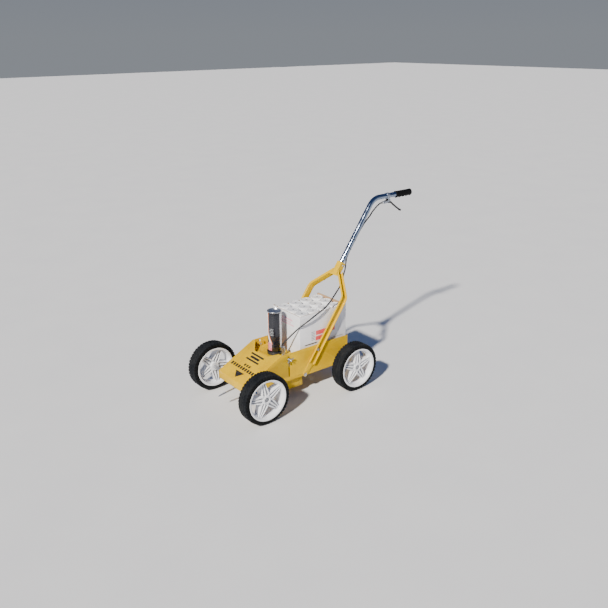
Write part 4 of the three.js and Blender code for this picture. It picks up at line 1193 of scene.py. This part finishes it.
# ---------------------------------------------------------------- can carriage
def carriage_pieces():
    deck = shape(block, -115, 115, 158, 281, DECK_Z - 2, DECK_Z)
    for sign in (1, -1):
        x0, x1 = sorted((sign * 113, sign * 115))
        ear = [(192, 198), (236, 198), *arc(230, 216, 6, 0, 90, 5), *arc(198, 216, 6, 90, 180, 5)]
        carve(deck, shape(prism, ear, "X", x0, x1), "UNION")
    for y in (200, 237.5):
        hanger = [
            (PIVOT_X - 9, 199), (PIVOT_X + 10, 199), (PIVOT_X + 9, PIVOT_Z),
            *arc(PIVOT_X, PIVOT_Z, 8, 0, -180, 8),
        ]
        carve(deck, shape(prism, hanger, "Y", y, y + 2.5), "UNION")
    tools = bmesh.new()
    prism(tools, arc(0, CAN_Y, 31.5, 0, 352.5, 47), "Z", 190, 210)
    prism(tools, arc(WIRE_X, WIRE_Y, 2.5, 0, 330, 11), "Z", 190, 210)
    hole(tools, "X", (WING_Y, WING_Z), 3.3, -120, 120)
    hole(tools, "Y", (PIVOT_X, PIVOT_Z), 3.3, 195, 245)
    # drain holes in the deck's corners
    for x, y in ((-92, 262), (92, 262), (-92, 176), (92, 176)):
        hole(tools, "Z", (x, y), 4, 190, 210)
    carve(deck, raw("tool", tools))
    sheet(deck, "carriage_deck", "can_carriage", body="carriage", bevel=0.4, angle=40)

    low = DECK_Z + GAP
    collar = shape(
        turned,
        [
            (31.9, low), (37.6, low), (38.2, low + 0.6), (38.2, 205.5), (37.4, 206.2), (37.4, 208.2),
            (38.2, 208.9), (38.2, 213.2), (37.6, 214.0), (35.4, 214.0), (34.9, 213.4), (34.9, 208.6),
            (31.9, 204.2),
        ],
        "Z", (0, CAN_Y), 72, closed=True,
    )
    piece(collar, "can_seat_ring", BLACK, "carriage", "black_plastic", "can_collar")

    y0, y1 = WIRE_Y - 10, WIRE_Y + 10
    bracket = shape(
        prism,
        [
            (55, low), (70, low), (70, low + 2.5), (58.8, low + 2.5), (57.5, low + 3.8), (57.5, 243.2),
            *arc(54.7, 243.2, 2.8, 0, 90, 5), (40, 246), (40, 243.5), (54, 243.5),
            *arc(54, 242.5, 1, 90, 0, 3),
        ],
        "Y", y0, y1,
    )
    carve(bracket, shape(prism, arc(WIRE_X, WIRE_Y, 1.8, 0, 330, 11), "Z", 235, 250))
    zinc(bracket, "cable_stop_bracket", "cable_bracket", body="carriage", bevel=0.4)
    at = ("Z", (65, WIRE_Y))
    bolt = together(
        (hexagon, 4.6, *at, low + 2.6, low + 6), (rod, 2.2, *at, low + 3, low + 8, 20, 0.4)
    )
    zinc(bolt, "bracket_bolt", body="carriage")

    pin = shape(rod, 2.95, "Y", (PIVOT_X, PIVOT_Z), 198, 242, 24, 0.6)
    zinc(pin, "actuator_pivot_pin", "actuator_pin", body="carriage")

    wire = bmesh.new()
    rod(wire, 1.1, "Z", (WIRE_X, WIRE_Y), 169, 246.1, 16, 0.2)
    turned(wire, [(0, 166), (2.8, 166), (3.5, 166.7), (3.5, 170.8), (2.8, 171.5), (0, 171.5)],
           "Z", (WIRE_X, WIRE_Y), 32)
    piece(raw("wire", wire), "pull_wire_end", STEEL, "pull_wire", "bright_zinc", "cable_wire")

    plate = [
        (PIVOT_X, 207), (PIVOT_X + 18, 206), (-12, 206), (44, 207), *arc(46, 217, 10, -80, 0, 5),
        *arc(46, 225, 10, 0, 80, 5), (44, 235), (-12, 236), (PIVOT_X + 18, 236), (PIVOT_X, 235),
    ]
    lever = shape(prism, plate, "Z", 172.5, 175.9)
    carve(lever, shape(rod, 6, "Y", (PIVOT_X, PIVOT_Z), 203.2, 236.8, 40, 0.4), "UNION")
    tools = bmesh.new()
    hole(tools, "Z", (0, CAN_Y), 4, 160, 185)
    hole(tools, "Z", (WIRE_X, WIRE_Y), 3, 160, 185)
    turned(tools, [(0, 195), (3.2, 195), (3.2, 245), (0, 245)], "Y", (PIVOT_X, PIVOT_Z), 24)
    carve(lever, raw("tool", tools))
    zinc(lever, "actuator_plate", "actuator_lever", body="actuator", bevel=0.5)

    for side, sign in SIDES:
        bm = bmesh.new()
        turned(bm, [(0, 109), (4.5, 109.2), (6.6, 110.6), (7, 112), (7, 112.7), (0, 112.7)],
               "X", (WING_Y, WING_Z), 32)
        # a threaded shank
        shank = [(0, 112.5)]
        x = 112.5
        while x < 138.2:
            shank += [(2.9, x), (2.55, x + 0.5)]
            x += 1.0
        shank += [(2.4, 138.8), (1.8, 139), (0, 139)]
        turned(bm, shank, "X", (WING_Y, WING_Z), 24)
        mirrored(bm, sign)
        zinc(raw("bolt", bm), f"wing_bolt_thread_{side}", f"wing_bolt_{side}", body="carriage")

        face = BODY_HALF + 0.4
        bm = bmesh.new()
        turned(
            bm,
            [(3.3, face), (8.6, face), (9.0, face + 0.5), (8.4, face + 1.8), (6.9, face + 2.4),
             (6.2, face + 8.6), (5.4, face + 10.0), (3.3, face + 10.3)],
            "X", (0, 0), 40, closed=True,
        )
        for flip in (1, -1):
            wing = [(4.2, 3.2), (9, 4.6), (14.5, 7.0), (18.2, 9.2), (19, 11.8), (18, 14.2), (15, 15),
                    (11.8, 13.6), (8.4, 10.4), (4.2, 8.6)]
            rings = []
            for z, inset in ((-1.7, 0.7), (-1.1, 0), (1.1, 0), (1.7, 0.7)):
                rings.append([
                    (face + v + (inset if v < 9 else -inset) * 0.5, flip * (u - inset * 0.5), z)
                    for u, v in wing
                ])
            add_faces(bm, rings)
        turn = Matrix.Rotation(math.radians(24), 4, "X")
        place = Matrix.Translation((0, WING_Y, WING_Z))
        if sign < 0:
            place = place @ Matrix.Rotation(math.pi, 4, "Z")
        piece(raw("nut", bm), f"wing_nut_cast_{side}", CAST, f"{side}_wing_nut", "bright_zinc",
              f"wing_nut_{side}", matrix=place @ turn)


carriage_pieces()


# ---------------------------------------------------------------- paint cans
def can_pieces():
    dome = shape(
        turned,
        [
            (2.6, 199.8), (2.6, 190.2), (6, 190), (9, 190.4), (12.4, 191.6), (13.6, 192.6), (15.2, 191.2),
            (16.6, 190.6), (17.5, 191.4), (17.5, 194.6), (19.5, 196.0), (24.0, 198.2), (29.0, 202.0),
            (32.2, 205.6), (33.4, 208.6),
        ],
        "Z", (0, CAN_Y), 72,
    )
    piece(dome, "can_dome", STEEL, "paint_can", "can_label", angle=60)
    sleeve = [(33.2, 208.4), (33.9, 209.4), (33.9, 409.5), (33.5, 410.4), (33.2, 410.4)]
    piece(shape(turned, sleeve, "Z", (0, CAN_Y), 96, closed=True), "can_label_sleeve", LABEL,
          "paint_can", "can_label", "spray_can", angle=60)
    base = shape(
        turned,
        [
            (33.0, 409.6), (33.3, 411.0), (34.3, 412.6), (34.4, 414.6), (33.7, 415.6), (32.7, 415.5),
            (32.0, 414.4), (31.2, 411.6), (28.5, 408.4), (22.0, 405.2), (11.0, 403.0), (0, 402.6),
        ],
        "Z", (0, CAN_Y), 96,
    )
    piece(base, "can_base_rim", STEEL, "paint_can", "can_label", angle=50)
    tip = shape(
        turned,
        [
            (0.6, 178.2), (5.0, 178.2), (5.8, 178.8), (6.0, 180.2), (5.8, 183.4), (5.2, 184.0),
            (2.0, 184.2), (2.0, 194.8), (0, 195.0),
        ],
        "Z", (0, CAN_Y), 40,
    )
    piece(tip, "spray_nozzle", CAP, "valve_tip", "valve_plastic", "spray_tip")


can_pieces()


def spare_pieces():
    base = 143.6
    middle = (288.3 + 571.3) / 2

    def mesh_of(name, profile, sides):
        bm = bmesh.new()
        turned(bm, profile, "Z", (0, 0), sides)
        clean(bm)
        return data_of(name, bm)

    # one spare can: body, shoulder seam and a cap with a stepped top and a centre button
    body = mesh_of(
        "spare_body",
        [(0, base), (31, base), (33.2, base + 0.8), (33.2, 351.0), (32.6, 352.0), (0, 352.0)], 56,
    )
    cap = mesh_of("spare_cap", [
        (32.4, 352.3), (33.1, 352.3), (33.2, 353.2), (33.0, 388.0), (32.2, 390.8), (30.2, 393.2),
        (27.6, 394.4), (25.4, 394.7), (24.2, 394.3), (23.4, 393.2), (12.0, 392.6), (0, 392.5),
    ], 56)
    button = mesh_of(
        "spare_button", [(0, 392.4), (5.2, 392.4), (5.2, 393.4), (4.6, 393.9), (0, 394.0)], 32
    )
    for col, side in enumerate(("right", "middle", "left")):
        for row in range(4):
            place = Matrix.Translation(((col - 1) * 67.6, middle + (row - 1.5) * 66.4, 0))
            turn = place @ Matrix.Rotation(0.7 * row + 1.9 * col, 4, "Z")
            for kind, mesh, material in (("body", body, CAP), ("cap", cap, CAP), ("button", button, GREY)):
                replaces = (f"spare_cans_{side}",) if kind == "body" and row == 0 else ()
                piece(copy_of(mesh), f"spare_{kind}_{side}_{row + 1}", material, "spares", "spare_can_cap",
                      replaces, angle=50, matrix=turn)


spare_pieces()


# ---------------------------------------------------------------- carton
def carton_pieces():
    low, high = 140.3, 396
    half, front, rear = 106, 288.3, 571.3
    bm = bmesh.new()
    wall, lowered_by = 3.0, 12
    outer = [
        *arc(half - 1.5, rear - 1.5, 1.5, 0, 90, 3), *arc(-half + 1.5, rear - 1.5, 1.5, 90, 180, 3),
        *arc(-half + 1.5, front + 1.5, 1.5, 180, 270, 3), *arc(half - 1.5, front + 1.5, 1.5, 270, 360, 3),
    ]
    rings = []
    for k, z in enumerate([low, low + 2, 200, 260, 320, 370, high - 0.4]):
        bow = 0.6 * math.sin(math.pi * k / 6)
        rings.append([(x * (1 + bow / 300), y, z) for x, y in outer])
    add_faces(bm, rings)
    shell = raw("carton", bm)
    inner = [
        (x * (half - wall) / half, front + wall + (y - front) * (rear - front - 2 * wall) / (rear - front))
        for x, y in outer
    ]
    carve(shell, shape(prism, inner, "Z", low + wall, high + 10))
    # the right wall is a little lower
    gap = shape(block, -half - 3, -half + wall + 1, front + 12, rear - 12, high - lowered_by, high + 10)
    carve(shell, gap)
    # the cut top edge and the inside are brown
    piece(shell, "carton_box", (CARTON, KRAFT), "spares", "carton_board", "carton", bevel=0.25, angle=50)
    for polygon in shell.data.polygons:
        c = polygon.center
        x, y, z = abs(c.x) * 1000, c.y * 1000 - SHIFT_Y, c.z * 1000
        inside = x < half - 2.2 and front + 2.2 < y < rear - 2.2 and z > low + 1
        lowered = c.x < 0 and abs(z - high + lowered_by) < 0.3
        polygon.material_index = 1 if inside or lowered or z > high - 0.7 else 0

    # flat printed patches on the left side and the front
    def patch(name, points, material):
        piece(shape(add_faces, points), name, material, "spares", "carton_board")

    def on_side(y0, y1, z0, z1):
        return [[(half + d, y, z) for y, z in corners(y0, y1, z0, z1)] for d in (0.45, 0.62)]

    def on_front(x0, x1, z0, z1):
        return [[(x, front - d, z) for x, z in corners(x0, x1, z0, z1)] for d in (0.05, 0.2)]

    patch("carton_print_red_upper", on_side(384, 500, 281, 303), RED)
    patch("carton_print_red_lower", on_side(382, 470, 254, 275), RED)
    for i, z in enumerate((259, 267, 275, 283, 291, 299)):
        patch(f"carton_print_tick_{i}", on_side(357, 378, z, z + 3.2), INK_GREY)
    patch("carton_print_line", on_side(318, 391, 241, 246), INK)
    patch("carton_print_line_end", on_side(470, 552, 241, 244), INK_GREY)
    patch("carton_print_pink_bar", on_front(-36, 50, 356, 364), PINK)
    patch("carton_print_pink_mid", on_front(-36, 38, 345, 350), PINK)
    patch("carton_print_pink_low", on_front(-36, 60, 333, 339), PINK)


carton_pieces()


# ---------------------------------------------------------------- studio
def studio():
    bm = bmesh.new()
    size = 30
    add_faces(bm, [[(x, y, z) for x, y in corners(-size, size, -size, size)] for z in (-0.02, 0.0)])
    bmesh.ops.recalc_face_normals(bm, faces=bm.faces)
    floor = placed(data_of("floor", bm))
    s = Shader("pale_floor", roughness=0.7)
    s.colour(s.mix(s.spread(s.noise(3, 3), 0.3, 0.7), (0.80, 0.80, 0.80), (0.77, 0.77, 0.78)))
    floor.data.materials.append(s.material)

    world = bpy.data.worlds.new("studio")
    world.use_nodes = True
    tree = world.node_tree
    back = tree.nodes["Background"]
    height = tree.nodes.new("ShaderNodeSeparateXYZ")
    ramp = tree.nodes.new("ShaderNodeValToRGB")
    tree.links.new(tree.nodes.new("ShaderNodeTexCoord").outputs["Generated"], height.inputs[0])
    tree.links.new(height.outputs["Z"], ramp.inputs[0])
    tree.links.new(ramp.outputs[0], back.inputs[0])
    ramp.color_ramp.elements[0].position = 0.0
    ramp.color_ramp.elements[0].color = (0.80, 0.86, 0.95, 1)
    ramp.color_ramp.elements[1].position = 0.55
    ramp.color_ramp.elements[1].color = (0.16, 0.30, 0.72, 1)
    back.inputs[1].default_value = 0.30
    bpy.context.scene.world = world

    def lamp(name, kind, energy, place, target, size, colour):
        data = bpy.data.lights.new(name, kind)
        data.energy = energy
        data.color = colour
        if kind == "AREA":
            data.size = size
        else:
            data.angle = size
        obj = bpy.data.objects.new(name, data)
        direction = Vector(target) - Vector(place)
        turn = direction.to_track_quat("-Z", "Y").to_matrix().to_4x4()
        obj.matrix_world = Matrix.Translation(place) @ turn
        bpy.context.scene.collection.objects.link(obj)

    sun = Vector((0.349, -0.712, 0.610)).normalized()
    lamp("key", "SUN", 6.8, sun * 5, (0, 0, 0), math.radians(3), (1.0, 0.95, 0.86))
    lamp("fill", "AREA", 4, (3.0, 1.4, 1.6), (0, 0, 0.3), 2.5, (0.85, 0.92, 1.0))


studio()
